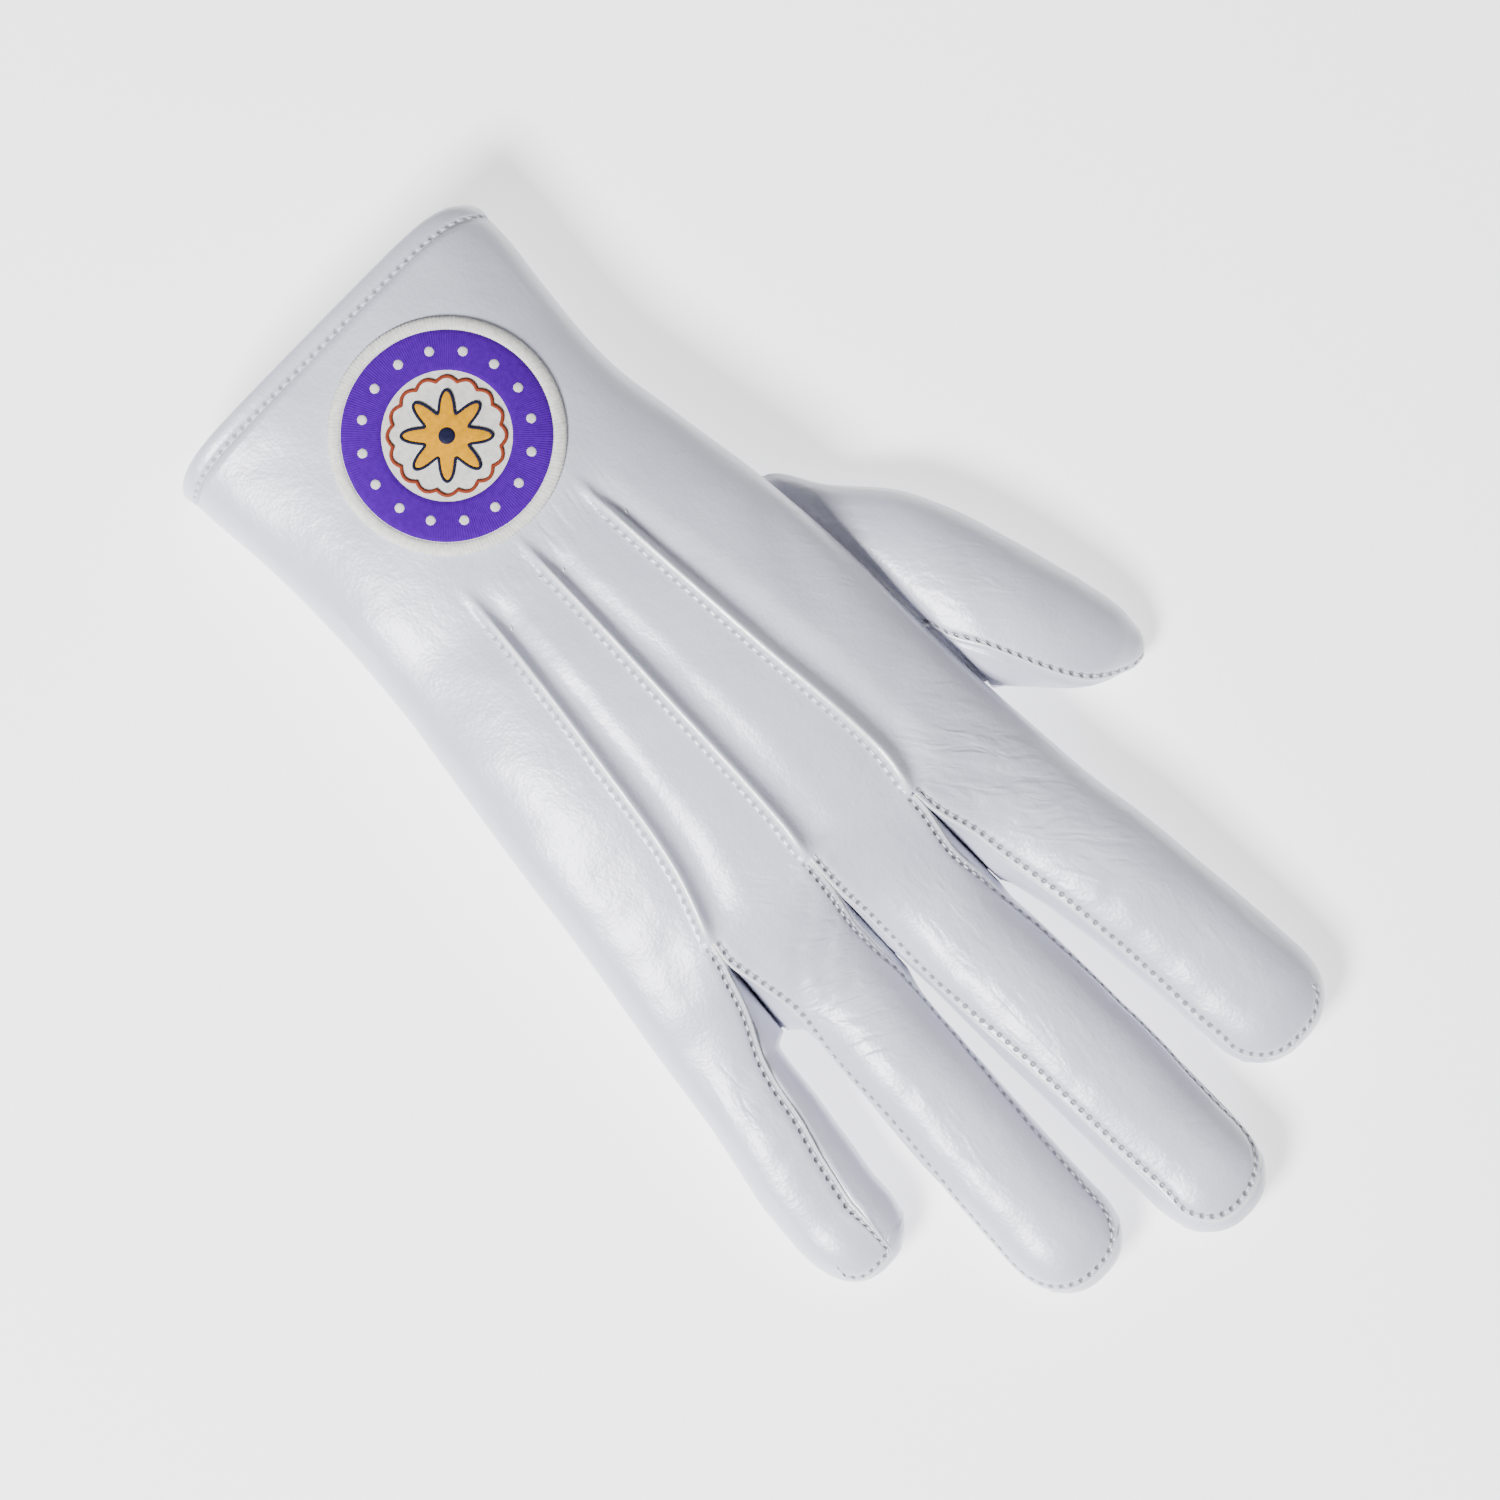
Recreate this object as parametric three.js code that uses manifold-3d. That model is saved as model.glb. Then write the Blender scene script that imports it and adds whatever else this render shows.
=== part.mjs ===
// White leather parade glove for the right hand, lying palm down as it does on a table.
// The fingers point along +Y, the thumb towards -X and the back of the hand up, along +Z.
// The origin is under the middle of the palm, on the surface that the glove lies on.
// All lengths are in millimetres.
import * as THREE from "three";
import { mergeVertices } from "three/addons/utils/BufferGeometryUtils.js";
import Module from "manifold-3d";

const wasm = await Module();
wasm.setup();

// Leather and sewing
const wall = 1.2; // leather with its lining
const seamGap = 0.3; // clearance between pieces that are sewn together
const pointHeight = 1.5; // raised points on the back

// Hand of the glove
const palmLength = 148; // cuff edge to the knuckle line
const cuffWidth = 82.5;
const wristWidth = 78.4;
const palmWidth = 100.2; // across the knuckles
const cuffHeight = 30;
const wristHeight = 31;
const palmHeight = 32;
const knuckleHeight = 27;
const webDepth = 25.5; // from the fork between two fingers on the back to the web on the palm side
const webHeight = 3; // lowest point of a web above the table
const forkBlend = 32; // length over which the back turns from palm to finger, from the fork on
const sideFold = 3.5; // width of the rounded fold down each side, seen from above
const palmRounding = 10; // the same on the underside of the palm
const fingerRounding = 3.6; // and on the underside of a finger
const cuffSetback = { thumbSide: 5, littleSide: 3 }; // how far the cuff edge curves back at its sides
const cuffSetbackFade = 0.3; // where that has faded out, as a share of palmLength
const cuffSetbackPower = 9; // how suddenly it starts towards the sides
const restAt = 0.5; // where the origin lies, as a share of palmLength

// Fingers, each from the knuckle line to its tip
const indexLength = 95.3;
const middleLength = 112.3;
const ringLength = 99.8;
const littleLength = 67.1;
const indexWidth = 26.4;
const middleWidth = 25.2;
const ringWidth = 23.1;
const littleWidth = 22.5;
const indexHeight = 20;
const middleHeight = 20;
const ringHeight = 19;
const littleHeight = 18;

// Hem
const hemWidth = 4.2;
const hemThickness = 2.4;

// Thumb
const thumbReach = 30.6; // how far it stands out past the side of the palm
const thumbLength = 82.2; // along the hand, from the near end of its hole to its tip
const thumbStart = 83; // near end of the thumb hole, from the cuff edge
const thumbHeight = 19;
const thumbHoleLength = 61;
const thumbHoleHeight = 14;
const thumbRoot = { depth: 9, height: 9 }; // how far inside the palm's side its form starts, and how high
const thumbRoundness = 0.85; // below 1 its sections are fuller than ellipses
const thumbDroop = 0.06; // share of the height lost towards its tip by which its underside rises

// Embroidered patch
const patchDiameter = 48;
const patchThickness = 0.7;
const patchBorderWidth = 2.9;
const patchBorderThickness = 1.7;
const bandInner = 13.2; // radii of its coloured band
const bandOuter = 20.4;
const threadThickness = 0.4;
const patchFromCuff = 34.3; // its middle, from the cuff edge
const patchAcross = -3; // its middle, across the hand
const rosetteDiameter = 19;
const rosettePetals = 8;

// Side to side the palm runs from the thumb side, left, to the little finger side, right.
// at is a share of palmLength, and side is the height of the widest line, a share of the height.
const nearKnuckles = 0.5 * (palmHeight + knuckleHeight);
const palmSections = [
  { at: 0, left: -0.488 * cuffWidth, right: 0.512 * cuffWidth, height: cuffHeight, side: 0.5 },
  { at: 0.06, left: -0.488 * cuffWidth, right: 0.512 * cuffWidth, height: cuffHeight, side: 0.5 },
  { at: 0.17, left: -0.465 * cuffWidth, right: 0.502 * cuffWidth, height: cuffHeight, side: 0.5 },
  { at: 0.32, left: -0.471 * wristWidth, right: 0.529 * wristWidth, height: wristHeight, side: 0.5 },
  { at: 0.44, left: -0.391 * palmWidth, right: 0.429 * palmWidth, height: wristHeight, side: 0.52 },
  { at: 0.56, left: -0.415 * palmWidth, right: 0.457 * palmWidth, height: palmHeight, side: 0.53 },
  { at: 0.72, left: -0.43 * palmWidth, right: 0.495 * palmWidth, height: palmHeight, side: 0.53 },
  { at: 0.86, left: -0.43 * palmWidth, right: 0.525 * palmWidth, height: nearKnuckles, side: 0.5 },
  { at: 1, left: -0.436 * palmWidth, right: 0.562 * palmWidth, height: knuckleHeight, side: 0.46 },
  { at: 1.13, left: -0.447 * palmWidth, right: 0.596 * palmWidth, height: 0.9 * knuckleHeight, side: 0.44 },
  { at: 1.3, left: -0.47 * palmWidth, right: 0.64 * palmWidth, height: 0.8 * knuckleHeight, side: 0.42 },
];

// The three lines that divide the back into four strips, one for each finger.
// at is a share of palmLength, and across a share of palmWidth.
const dividers = [
  [
    { at: 0, across: -0.14 },
    { at: 0.44, across: -0.15 },
    { at: 0.72, across: -0.171 },
    { at: 0.94, across: -0.19 },
    { at: 1.024, across: -0.177 },
  ],
  [
    { at: 0, across: 0.012 },
    { at: 0.44, across: 0.018 },
    { at: 0.72, across: 0.037 },
    { at: 0.93, across: 0.057 },
    { at: 0.999, across: 0.075 },
  ],
  [
    { at: 0, across: 0.15 },
    { at: 0.44, across: 0.172 },
    { at: 0.72, across: 0.228 },
    { at: 0.86, across: 0.268 },
    { at: 0.992, across: 0.338 },
  ],
];
const pointsFrom = 0.43; // the raised points start here, as a share of palmLength
const pointsTo = 0.985; // and end here, as a share of the way to the fork
const pointRamps = { rising: 0.12, falling: 0.05 }; // lengths of their two ends, as shares of their length

// Where the web between two fingers ends on the palm side: across is a share of palmWidth.
const webs = [
  { across: -0.17, depth: 0.86 * webDepth },
  { across: 0.083, depth: webDepth },
  { across: 0.352, depth: 0.75 * webDepth },
];

// Each finger from the knuckle line to its tip. In its sections at is a share of its length, centre a share
// of palmWidth and half a share of its width. thumbSeam and littleSeam are where the edges of the back
// panel lie, as shares of the half width.
const fingers = [
  {
    name: "index", length: indexLength, width: indexWidth, height: indexHeight,
    tipLength: 0.54 * indexWidth, tipSquareness: 2.4,
    sections: [
      { at: 0, centre: -0.3065, half: 0.49, thumbSeam: -1, littleSeam: 1 },
      { at: 0.165, centre: -0.31, half: 0.508, thumbSeam: -1, littleSeam: 0.84 },
      { at: 0.293, centre: -0.3175, half: 0.522, thumbSeam: -1, littleSeam: 0.76 },
      { at: 0.422, centre: -0.337, half: 0.508, thumbSeam: -1, littleSeam: 0.8 },
      { at: 0.636, centre: -0.356, half: 0.496, thumbSeam: -1, littleSeam: 0.87 },
      { at: 0.85, centre: -0.369, half: 0.496, thumbSeam: -1, littleSeam: 0.89 },
    ],
  },
  {
    name: "middle", length: middleLength, width: middleWidth, height: middleHeight,
    tipLength: 0.66 * middleWidth, tipSquareness: 2.3,
    sections: [
      { at: 0, centre: -0.046, half: 0.47, thumbSeam: -1, littleSeam: 1 },
      { at: 0.14, centre: -0.043, half: 0.475, thumbSeam: -0.9, littleSeam: 0.95 },
      { at: 0.25, centre: -0.041, half: 0.48, thumbSeam: -0.93, littleSeam: 0.93 },
      { at: 0.36, centre: -0.041, half: 0.502, thumbSeam: -0.95, littleSeam: 0.86 },
      { at: 0.54, centre: -0.042, half: 0.5, thumbSeam: -0.985, littleSeam: 0.78 },
      { at: 0.83, centre: -0.039, half: 0.485, thumbSeam: -0.985, littleSeam: 0.74 },
    ],
  },
  {
    name: "ring", length: ringLength, width: ringWidth, height: ringHeight,
    tipLength: 0.63 * ringWidth, tipSquareness: 2.4,
    sections: [
      { at: 0, centre: 0.207, half: 0.55, thumbSeam: -1, littleSeam: 1 },
      { at: 0.16, centre: 0.206, half: 0.51, thumbSeam: -0.93, littleSeam: 0.88 },
      { at: 0.28, centre: 0.209, half: 0.49, thumbSeam: -0.96, littleSeam: 0.97 },
      { at: 0.4, centre: 0.222, half: 0.486, thumbSeam: -0.98, littleSeam: 0.95 },
      { at: 0.65, centre: 0.241, half: 0.5, thumbSeam: -0.93, littleSeam: 0.97 },
      { at: 0.85, centre: 0.251, half: 0.5, thumbSeam: -0.89, littleSeam: 0.985 },
    ],
  },
  {
    name: "little", length: littleLength, width: littleWidth, height: littleHeight,
    tipLength: 0.64 * littleWidth, tipSquareness: 2.5,
    sections: [
      { at: 0, centre: 0.451, half: 0.5, thumbSeam: -1, littleSeam: 1 },
      { at: 0.14, centre: 0.466, half: 0.5, thumbSeam: -0.84, littleSeam: 1 },
      { at: 0.3, centre: 0.488, half: 0.475, thumbSeam: -0.6, littleSeam: 1 },
      { at: 0.5, centre: 0.512, half: 0.492, thumbSeam: -0.5, littleSeam: 1 },
      { at: 0.6, centre: 0.526, half: 0.495, thumbSeam: -0.44, littleSeam: 1 },
      { at: 0.78, centre: 0.543, half: 0.48, thumbSeam: -0.36, littleSeam: 1 },
    ],
  },
];
const fingerLift = 2; // how far a finger arches off the table between knuckle and tip
const tipHeightShare = 0.86; // height of a finger where its tip begins to round, against its root
const fingerSide = 0.45; // height of a finger's widest line, as a share of its height

// The thumb from its hole to its tip. near and far are the two ends of each section seen from above:
// out is a share of thumbReach past the palm's side, and along a share of thumbLength from the hole's start.
const thumbSections = [
  { at: 0, nearOut: 0.04, nearAlong: 0.02, farOut: 0, farAlong: 0.765, height: 0.8 },
  { at: 0.14, nearOut: 0.24, nearAlong: 0.14, farOut: 0.02, farAlong: 0.79, height: 0.92 },
  { at: 0.28, nearOut: 0.5, nearAlong: 0.265, farOut: 0.09, farAlong: 0.815, height: 1 },
  { at: 0.42, nearOut: 0.665, nearAlong: 0.4, farOut: 0.18, farAlong: 0.852, height: 1 },
  { at: 0.56, nearOut: 0.785, nearAlong: 0.54, farOut: 0.275, farAlong: 0.893, height: 0.97 },
  { at: 0.7, nearOut: 0.885, nearAlong: 0.675, farOut: 0.37, farAlong: 0.93, height: 0.9 },
  { at: 0.82, nearOut: 0.96, nearAlong: 0.785, farOut: 0.47, farAlong: 0.958, height: 0.8 },
  { at: 0.91, nearOut: 1, nearAlong: 0.88, farOut: 0.59, farAlong: 0.98, height: 0.66 },
  { at: 0.97, nearOut: 0.985, nearAlong: 0.95, farOut: 0.69, farAlong: 0.993, height: 0.48 },
];

// Fineness of the meshes
const palmRows = 12;
const forkRows = 3;
const webBlendRows = 1.5; // rows over which the underside turns from palm to finger, from the web on
const fingerRows = 6;
const tipShares = [0.4, 0.68, 0.87, 0.97, 1];
const backShares = [0, 0.055, 0.28, 0.5, 0.72, 0.945, 1];
const undersideShares = [0, 0.25, 0.5, 0.75, 1];
const fourchetteEnd = 1; // which of the tip's shares the fourchettes end at
const wallSteps = 4;
const cuffSteps = 16;

// Powers of the superellipses that the sections are made of
const palmTopPower = 2.6;
const palmUnderPower = 4;
const fingerTopPower = 2.3;
const fingerUnderPower = 2.8;

const { lerp, clamp, smoothstep } = THREE.MathUtils;
const at3 = (x, y, z) => new THREE.Vector3(x, y, z);

// A smooth curve through a table's rows: cubic Hermite, with each slope taken from the rows around it.
function follow(rows, column, at) {
  const last = rows.length - 1;
  let k = 0;
  while (k < last - 1 && at > rows[k + 1].at) k++;
  const slope = (i) => {
    const before = rows[Math.max(i - 1, 0)];
    const after = rows[Math.min(i + 1, last)];
    return (after[column] - before[column]) / (after.at - before.at);
  };
  const span = rows[k + 1].at - rows[k].at;
  const s = clamp((at - rows[k].at) / span, 0, 1);
  const start = (2 * s - 3) * s * s + 1;
  return (
    start * rows[k][column] +
    (1 - start) * rows[k + 1][column] +
    (s - 1) * (s - 1) * s * span * slope(k) +
    (s - 1) * s * s * span * slope(k + 1)
  );
}

// Height of a superellipse at a share of its half width, and the angle at which its edge has that share.
const arch = (share, power) => Math.pow(1 - Math.pow(clamp(Math.abs(share), 0, 1), power), 1 / power);
const edgeAngle = (share, power) => Math.acos(Math.pow(clamp(Math.abs(share), 0, 1), power / 2));

// The underside lies flat on the table, where its curve would leave it by less than this.
const contact = 0.15;
const flattened = (z, side) => (Math.max(z - contact, 0) * side) / (side - contact);

// Sections of the palm and of a finger at a distance y from the cuff edge.
function palmAt(y) {
  const at = y / palmLength;
  const left = follow(palmSections, "left", at);
  const right = follow(palmSections, "right", at);
  const height = follow(palmSections, "height", at);
  const side = height * follow(palmSections, "side", at);
  const powers = { top: palmTopPower, under: palmUnderPower };
  return { centre: (left + right) / 2, half: (right - left) / 2, height, side, powers, lift: 0 };
}

function fingerAt(finger, y) {
  const at = (y - palmLength) / finger.length;
  const tipAt = 1 - finger.tipLength / finger.length;
  const height = finger.height * lerp(1, tipHeightShare, clamp(at / tipAt, 0, 1));
  const lift = fingerLift * Math.sin(Math.PI * clamp(at / tipAt, 0, 1)) ** 2;
  const powers = { top: fingerTopPower, under: fingerUnderPower };
  const centre = follow(finger.sections, "centre", at) * palmWidth;
  const half = follow(finger.sections, "half", at) * finger.width;
  return { centre, half, height, side: fingerSide * height, powers, lift };
}

// Height of the upper and the lower surface of a section over a share of its half width.
const upperAt = (s, share) => s.lift + s.side + (s.height - s.side) * arch(share, s.powers.top);
const underAt = (s, share) => s.lift + flattened(s.side * (1 - arch(share, s.powers.under)), s.side);

// A point of a section's flank: w runs from 0 at a share of its top to 1 at a share of its underside.
function flank(s, sign, topShare, underShare, y, w) {
  const angle = lerp(edgeAngle(topShare, s.powers.top), -edgeAngle(underShare, s.powers.under), w);
  const power = angle > 0 ? s.powers.top : s.powers.under;
  const share = Math.pow(Math.cos(angle), 2 / power);
  return at3(s.centre + sign * s.half * share, y, angle > 0 ? upperAt(s, share) : underAt(s, share));
}

const shareOf = (s, x) => (x - s.centre) / s.half;
const palmTop = (x, y) => upperAt(palmAt(y), shareOf(palmAt(y), x));
const palmUnder = (x, y) => underAt(palmAt(y), shareOf(palmAt(y), x));

// Where the fork between two fingers lies on the back, and where their web ends on the palm side.
const forks = dividers.map((line, i) => {
  const end = line[line.length - 1];
  const y = end.at * palmLength;
  return { x: end.across * palmWidth, y, webX: webs[i].across * palmWidth, webY: y + webs[i].depth };
});

// Rows across the glove: the palm up to the forks, from fork to web, along each finger, round its tip.
const webRow = palmRows + forkRows;
const tipRow = webRow + fingerRows;
const endRow = tipRow + tipShares.length;
const leatherStart = hemWidth + seamGap;

// The four strips, one for each finger, lie between five boundaries: 0 and 4 are the sides of the glove.
const forkOf = (boundary) => forks[clamp(boundary, 1, 3) - 1];
const tipShare = (row) => (row > tipRow ? tipShares[row - tipRow - 1] : 0);

function rowY(f, boundary, row) {
  const fork = forkOf(boundary);
  const tipStart = palmLength + fingers[f].length - fingers[f].tipLength;
  if (row <= palmRows) return lerp(leatherStart, fork.y, row / palmRows);
  if (row <= webRow) return lerp(fork.y, fork.webY, (row - palmRows) / forkRows);
  if (row <= tipRow) return lerp(fork.webY, tipStart, (row - webRow) / fingerRows);
  return tipStart;
}

function boundaryX(boundary, y, inset) {
  const s = palmAt(y);
  if (boundary === 0) return s.centre - s.half + inset;
  if (boundary === 4) return s.centre + s.half - inset;
  const fork = forkOf(boundary);
  if (y <= fork.y) return follow(dividers[boundary - 1], "across", y / palmLength) * palmWidth;
  return lerp(fork.x, fork.webX, clamp((y - fork.y) / (fork.webY - fork.y), 0, 1));
}

// Shares of a finger's half width at the two edges of its back and of its underside. Between two fingers
// those edges meet at the end of the fourchette, and from there the seam runs on round the tip.
function edgeShares(f, y, section, row) {
  const at = (y - palmLength) / fingers[f].length;
  const fold = 1 - sideFold / section.half;
  const under = 1 - fingerRounding / section.half;
  const close = clamp(tipShare(row) / tipShares[fourchetteEnd], 0, 1);
  const seam = (column, edge) => lerp(follow(fingers[f].sections, column, at), edge, close);
  return {
    top: [f === 0 ? -fold : seam("thumbSeam", -1), f === 3 ? fold : seam("littleSeam", 1)],
    under: [f === 0 ? -under : lerp(-under, -1, close), f === 3 ? under : lerp(under, 1, close)],
  };
}

// Rounds a finger's tip: everything draws in towards the end of its middle line.
function roundTip(f, section, point, row) {
  const t = tipShare(row);
  if (t === 0) return point;
  const finger = fingers[f];
  const draw = Math.pow(1 - Math.pow(t, finger.tipSquareness), 1 / finger.tipSquareness);
  const middle = section.lift + section.side;
  return at3(
    section.centre + (point.x - section.centre) * draw,
    point.y + finger.tipLength * t,
    middle + (point.z - middle) * draw,
  );
}

// A point of a strip's back ("top") or underside ("under"), u from its thumb side to its little side.
function stripPoint(f, face, row, u) {
  const yLeft = rowY(f, f, row);
  const yRight = rowY(f, f + 1, row);
  const y = lerp(yLeft, yRight, u);
  const inset = face === "top" ? sideFold : palmRounding;
  const x = lerp(boundaryX(f, yLeft, inset), boundaryX(f + 1, yRight, inset), u);
  const asFinger = (boundary, yAt) =>
    face === "top"
      ? smoothstep(yAt, forkOf(boundary).y, forkOf(boundary).y + forkBlend)
      : smoothstep(row, webRow, webRow + webBlendRows);
  const mix = lerp(asFinger(f, yLeft), asFinger(f + 1, yRight), u);
  const onPalm = at3(x, y, face === "top" ? palmTop(x, y) : palmUnder(x, y) + webLift(f, row, u));
  if (mix === 0) return onPalm;
  const section = fingerAt(fingers[f], y);
  const left = edgeShares(f, yLeft, fingerAt(fingers[f], yLeft), row)[face][0];
  const right = edgeShares(f, yRight, fingerAt(fingers[f], yRight), row)[face][1];
  const share = lerp(left, right, u);
  const z = face === "top" ? upperAt(section, share) : underAt(section, share);
  return roundTip(f, section, onPalm.lerp(at3(section.centre + section.half * share, y, z), mix), row);
}

// The palm's leather turns up a little at each web.
function webLift(f, row, u) {
  const rise = clamp(1 - Math.abs(row - webRow) / forkRows, 0, 1);
  const near = (f > 0 ? Math.pow(1 - u, 4) : 0) + (f < 3 ? Math.pow(u, 4) : 0);
  return webHeight * rise * near;
}

// A point of the wall at one side of a strip, w from the back's edge to the lower edge. The glove's two
// outer sides run the whole way. A wall between fingers starts at the fork and ends below on the line from
// fork to web, then on the edge of the finger's underside.
function wallPoint(f, side, row, w) {
  const boundary = f + side;
  const sign = side ? 1 : -1;
  const outer = boundary === 0 || boundary === 4;
  const y = rowY(f, boundary, row);
  const top = stripPoint(f, "top", row, side);
  const fork = forkOf(boundary);
  const down = clamp((row - palmRows) / forkRows, 0, 1);
  const end = stripPoint(f, "under", Math.max(row, webRow), side);
  const start = at3(fork.x, fork.y, palmTop(fork.x, fork.y));
  const bottom = outer ? stripPoint(f, "under", row, side) : row < webRow ? start.lerp(end, down) : end;
  const bulge = (section, topShare, underShare) => {
    const at = (share) => flank(section, sign, topShare, underShare, y, share);
    return at(w).sub(at(0).lerp(at(1), w));
  };
  const palm = palmAt(y);
  const finger = fingerAt(fingers[f], y);
  const edges = edgeShares(f, y, finger, row);
  const mix = smoothstep(y, fork.y, fork.y + forkBlend);
  const fingerBulge = bulge(finger, edges.top[side], edges.under[side]);
  const palmBulge = bulge(palm, 1 - sideFold / palm.half, 1 - palmRounding / palm.half);
  const t = tipShare(row);
  const square = fingers[f].tipSquareness;
  const draw = Math.pow(1 - Math.pow(t, square), 1 / square);
  const swell = outer ? palmBulge.lerp(fingerBulge, mix) : fingerBulge.multiplyScalar(down);
  const point = top.lerp(bottom, w).add(swell.multiplyScalar(draw));
  const limit = boundaryX(boundary, y, 0) - (sign * seamGap) / 2;
  if (!outer) point.x = sign * Math.min(sign * point.x, sign * limit);
  return point;
}

// The cuff edge curves back towards its two sides.
function setBack(point) {
  const s = palmAt(point.y);
  const share = clamp((point.x - s.centre) / s.half, -1, 1);
  const depth = share < 0 ? cuffSetback.thumbSide : cuffSetback.littleSide;
  const fade = 1 - smoothstep(point.y, 0, cuffSetbackFade * palmLength);
  const back = depth * Math.pow(Math.abs(share), cuffSetbackPower) * fade;
  return at3(point.x, point.y + back, point.z);
}

// A sheet of leather: its corners are shared by position. rise lifts a corner off the hand on the outside.
class Sheet {
  constructor() {
    this.points = [];
    this.rises = [];
    this.quads = [];
    this.known = new Map();
  }
  corner(point, rise = 0) {
    const key = [point.x, point.y, point.z].map((v) => Math.round(v * 2000)).join();
    if (!this.known.has(key)) {
      this.known.set(key, this.points.length);
      this.points.push(point);
      this.rises.push(rise);
    }
    return this.known.get(key);
  }
  // Adds a grid, with quads whose outside is seen when a turns right to b anticlockwise.
  grid(rows, columns, pointAt, riseAt = () => 0) {
    const index = rows.map((a) => columns.map((b) => this.corner(pointAt(a, b), riseAt(a, b))));
    for (let i = 0; i + 1 < rows.length; i++) {
      for (let j = 0; j + 1 < columns.length; j++) {
        const quad = [index[i][j], index[i][j + 1], index[i + 1][j + 1], index[i + 1][j]];
        this.quads.push(quad.filter((corner, k) => corner !== quad[(k + 1) % 4]));
      }
    }
  }
  triangles() {
    const split = (q) => (q.length === 4 ? [[q[0], q[1], q[2]], [q[0], q[2], q[3]]] : [q]);
    return this.quads.filter((q) => q.length > 2).flatMap(split);
  }
}

// Gives a sheet its thickness: outwards and inwards from its surface, and past its edges by grow.
function thicken(sheet, outwards, inwards, grow) {
  const triangles = sheet.triangles();
  const normals = sheet.points.map(() => at3(0, 0, 0));
  const edges = new Map();
  for (const t of triangles) {
    const [a, b, c] = t.map((i) => sheet.points[i]);
    const normal = b.clone().sub(a).cross(c.clone().sub(a));
    t.forEach((i) => normals[i].add(normal));
    t.forEach((i, k) => edges.set(i + "," + t[(k + 1) % 3], [i, t[(k + 1) % 3]]));
  }
  normals.forEach((n) => n.normalize());
  const open = [...edges.values()].filter(([a, b]) => !edges.has(b + "," + a));
  const spread = sheet.points.map(() => at3(0, 0, 0));
  for (const [a, b] of open) {
    const along = sheet.points[b].clone().sub(sheet.points[a]).normalize();
    for (const i of [a, b]) spread[i].add(along.clone().cross(normals[i]));
  }
  const sideways = spread.map((v) => v.normalize());
  const shifted = (i, out) =>
    sheet.points[i].clone().addScaledVector(normals[i], out).addScaledVector(sideways[i], grow);
  const count = sheet.points.length;
  const vertices = [
    ...sheet.points.map((p, i) => shifted(i, outwards + sheet.rises[i])),
    ...sheet.points.map((p, i) => shifted(i, -inwards)),
  ];
  const faces = [
    ...triangles,
    ...triangles.map(([a, b, c]) => [c + count, b + count, a + count]),
    ...open.flatMap(([a, b]) => [[b, a, a + count], [b, a + count, b + count]]),
  ];
  return solidOf(vertices, faces);
}

// Closed surface through rings of points: around each ring, and from ring to ring. Rings of one point close
// an end; otherwise the first and last rings are joined to each other.
function loft(rings, looped) {
  const vertices = [];
  const rows = rings.map((ring) => ring.map((p) => vertices.push(p) - 1));
  const faces = [];
  const pairs = looped ? rows.length : rows.length - 1;
  for (let i = 0; i < pairs; i++) {
    const near = rows[i];
    const far = rows[(i + 1) % rows.length];
    const around = Math.max(near.length, far.length);
    for (let j = 0; j < around; j++) {
      const [a, b] = [near[j % near.length], near[(j + 1) % near.length]];
      const [c, d] = [far[(j + 1) % far.length], far[j % far.length]];
      if (a !== b) faces.push([a, b, c]);
      if (c !== d) faces.push([a, c, d]);
    }
  }
  return solidOf(vertices, faces);
}

function solidOf(vertices, faces) {
  const vertProperties = new Float32Array(vertices.flatMap((p) => [p.x, p.y, p.z]));
  const triVerts = new Uint32Array(faces.flat());
  const mesh = new wasm.Mesh({ numProp: 3, vertProperties, triVerts });
  mesh.merge();
  return new wasm.Manifold(mesh);
}

const biggest = (solid) => solid.decompose().sort((a, b) => b.volume() - a.volume())[0];

// The trank: back and underside of each strip, and the two outer sides.
const range = (from, to) => Array.from({ length: to - from + 1 }, (_, k) => from + k);
const shares = (steps) => range(0, steps).map((k) => k / steps);
const allRows = range(0, endRow);

function pointRise(f, row, u) {
  const boundary = u === 0 ? f : u === 1 ? f + 1 : -1;
  if (row > palmRows || boundary < 1 || boundary > 3) return 0;
  const y = rowY(f, boundary, row);
  const along = (y - pointsFrom * palmLength) / (pointsTo * forkOf(boundary).y - pointsFrom * palmLength);
  const { rising, falling } = pointRamps;
  const ending = smoothstep(along, 1 - 0.6 * falling, 1 + 0.4 * falling);
  return pointHeight * smoothstep(along, 0, rising) * (1 - ending);
}

function makeTrank() {
  const sheet = new Sheet();
  for (const f of range(0, 3)) {
    const back = (row, u) => setBack(stripPoint(f, "top", row, u));
    sheet.grid(allRows, backShares, back, (row, u) => pointRise(f, row, u));
    sheet.grid(allRows, [...undersideShares].reverse(), (row, u) => setBack(stripPoint(f, "under", row, u)));
  }
  sheet.grid(allRows, shares(wallSteps), (row, w) => setBack(wallPoint(3, 1, row, w)));
  sheet.grid(allRows, shares(wallSteps).reverse(), (row, w) => setBack(wallPoint(0, 0, row, w)));
  return sheet;
}

const trankSheet = makeTrank();
const trankRoom = thicken(trankSheet, seamGap, wall + seamGap, seamGap);

// The six fourchettes
const fourchettes = [
  { name: "fourchette_index", f: 0, side: 1 },
  { name: "fourchette_middle_thumb_side", f: 1, side: 0 },
  { name: "fourchette_middle_little_side", f: 1, side: 1 },
  { name: "fourchette_ring_thumb_side", f: 2, side: 0 },
  { name: "fourchette_ring_little_side", f: 2, side: 1 },
  { name: "fourchette_little", f: 3, side: 0 },
];

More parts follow.
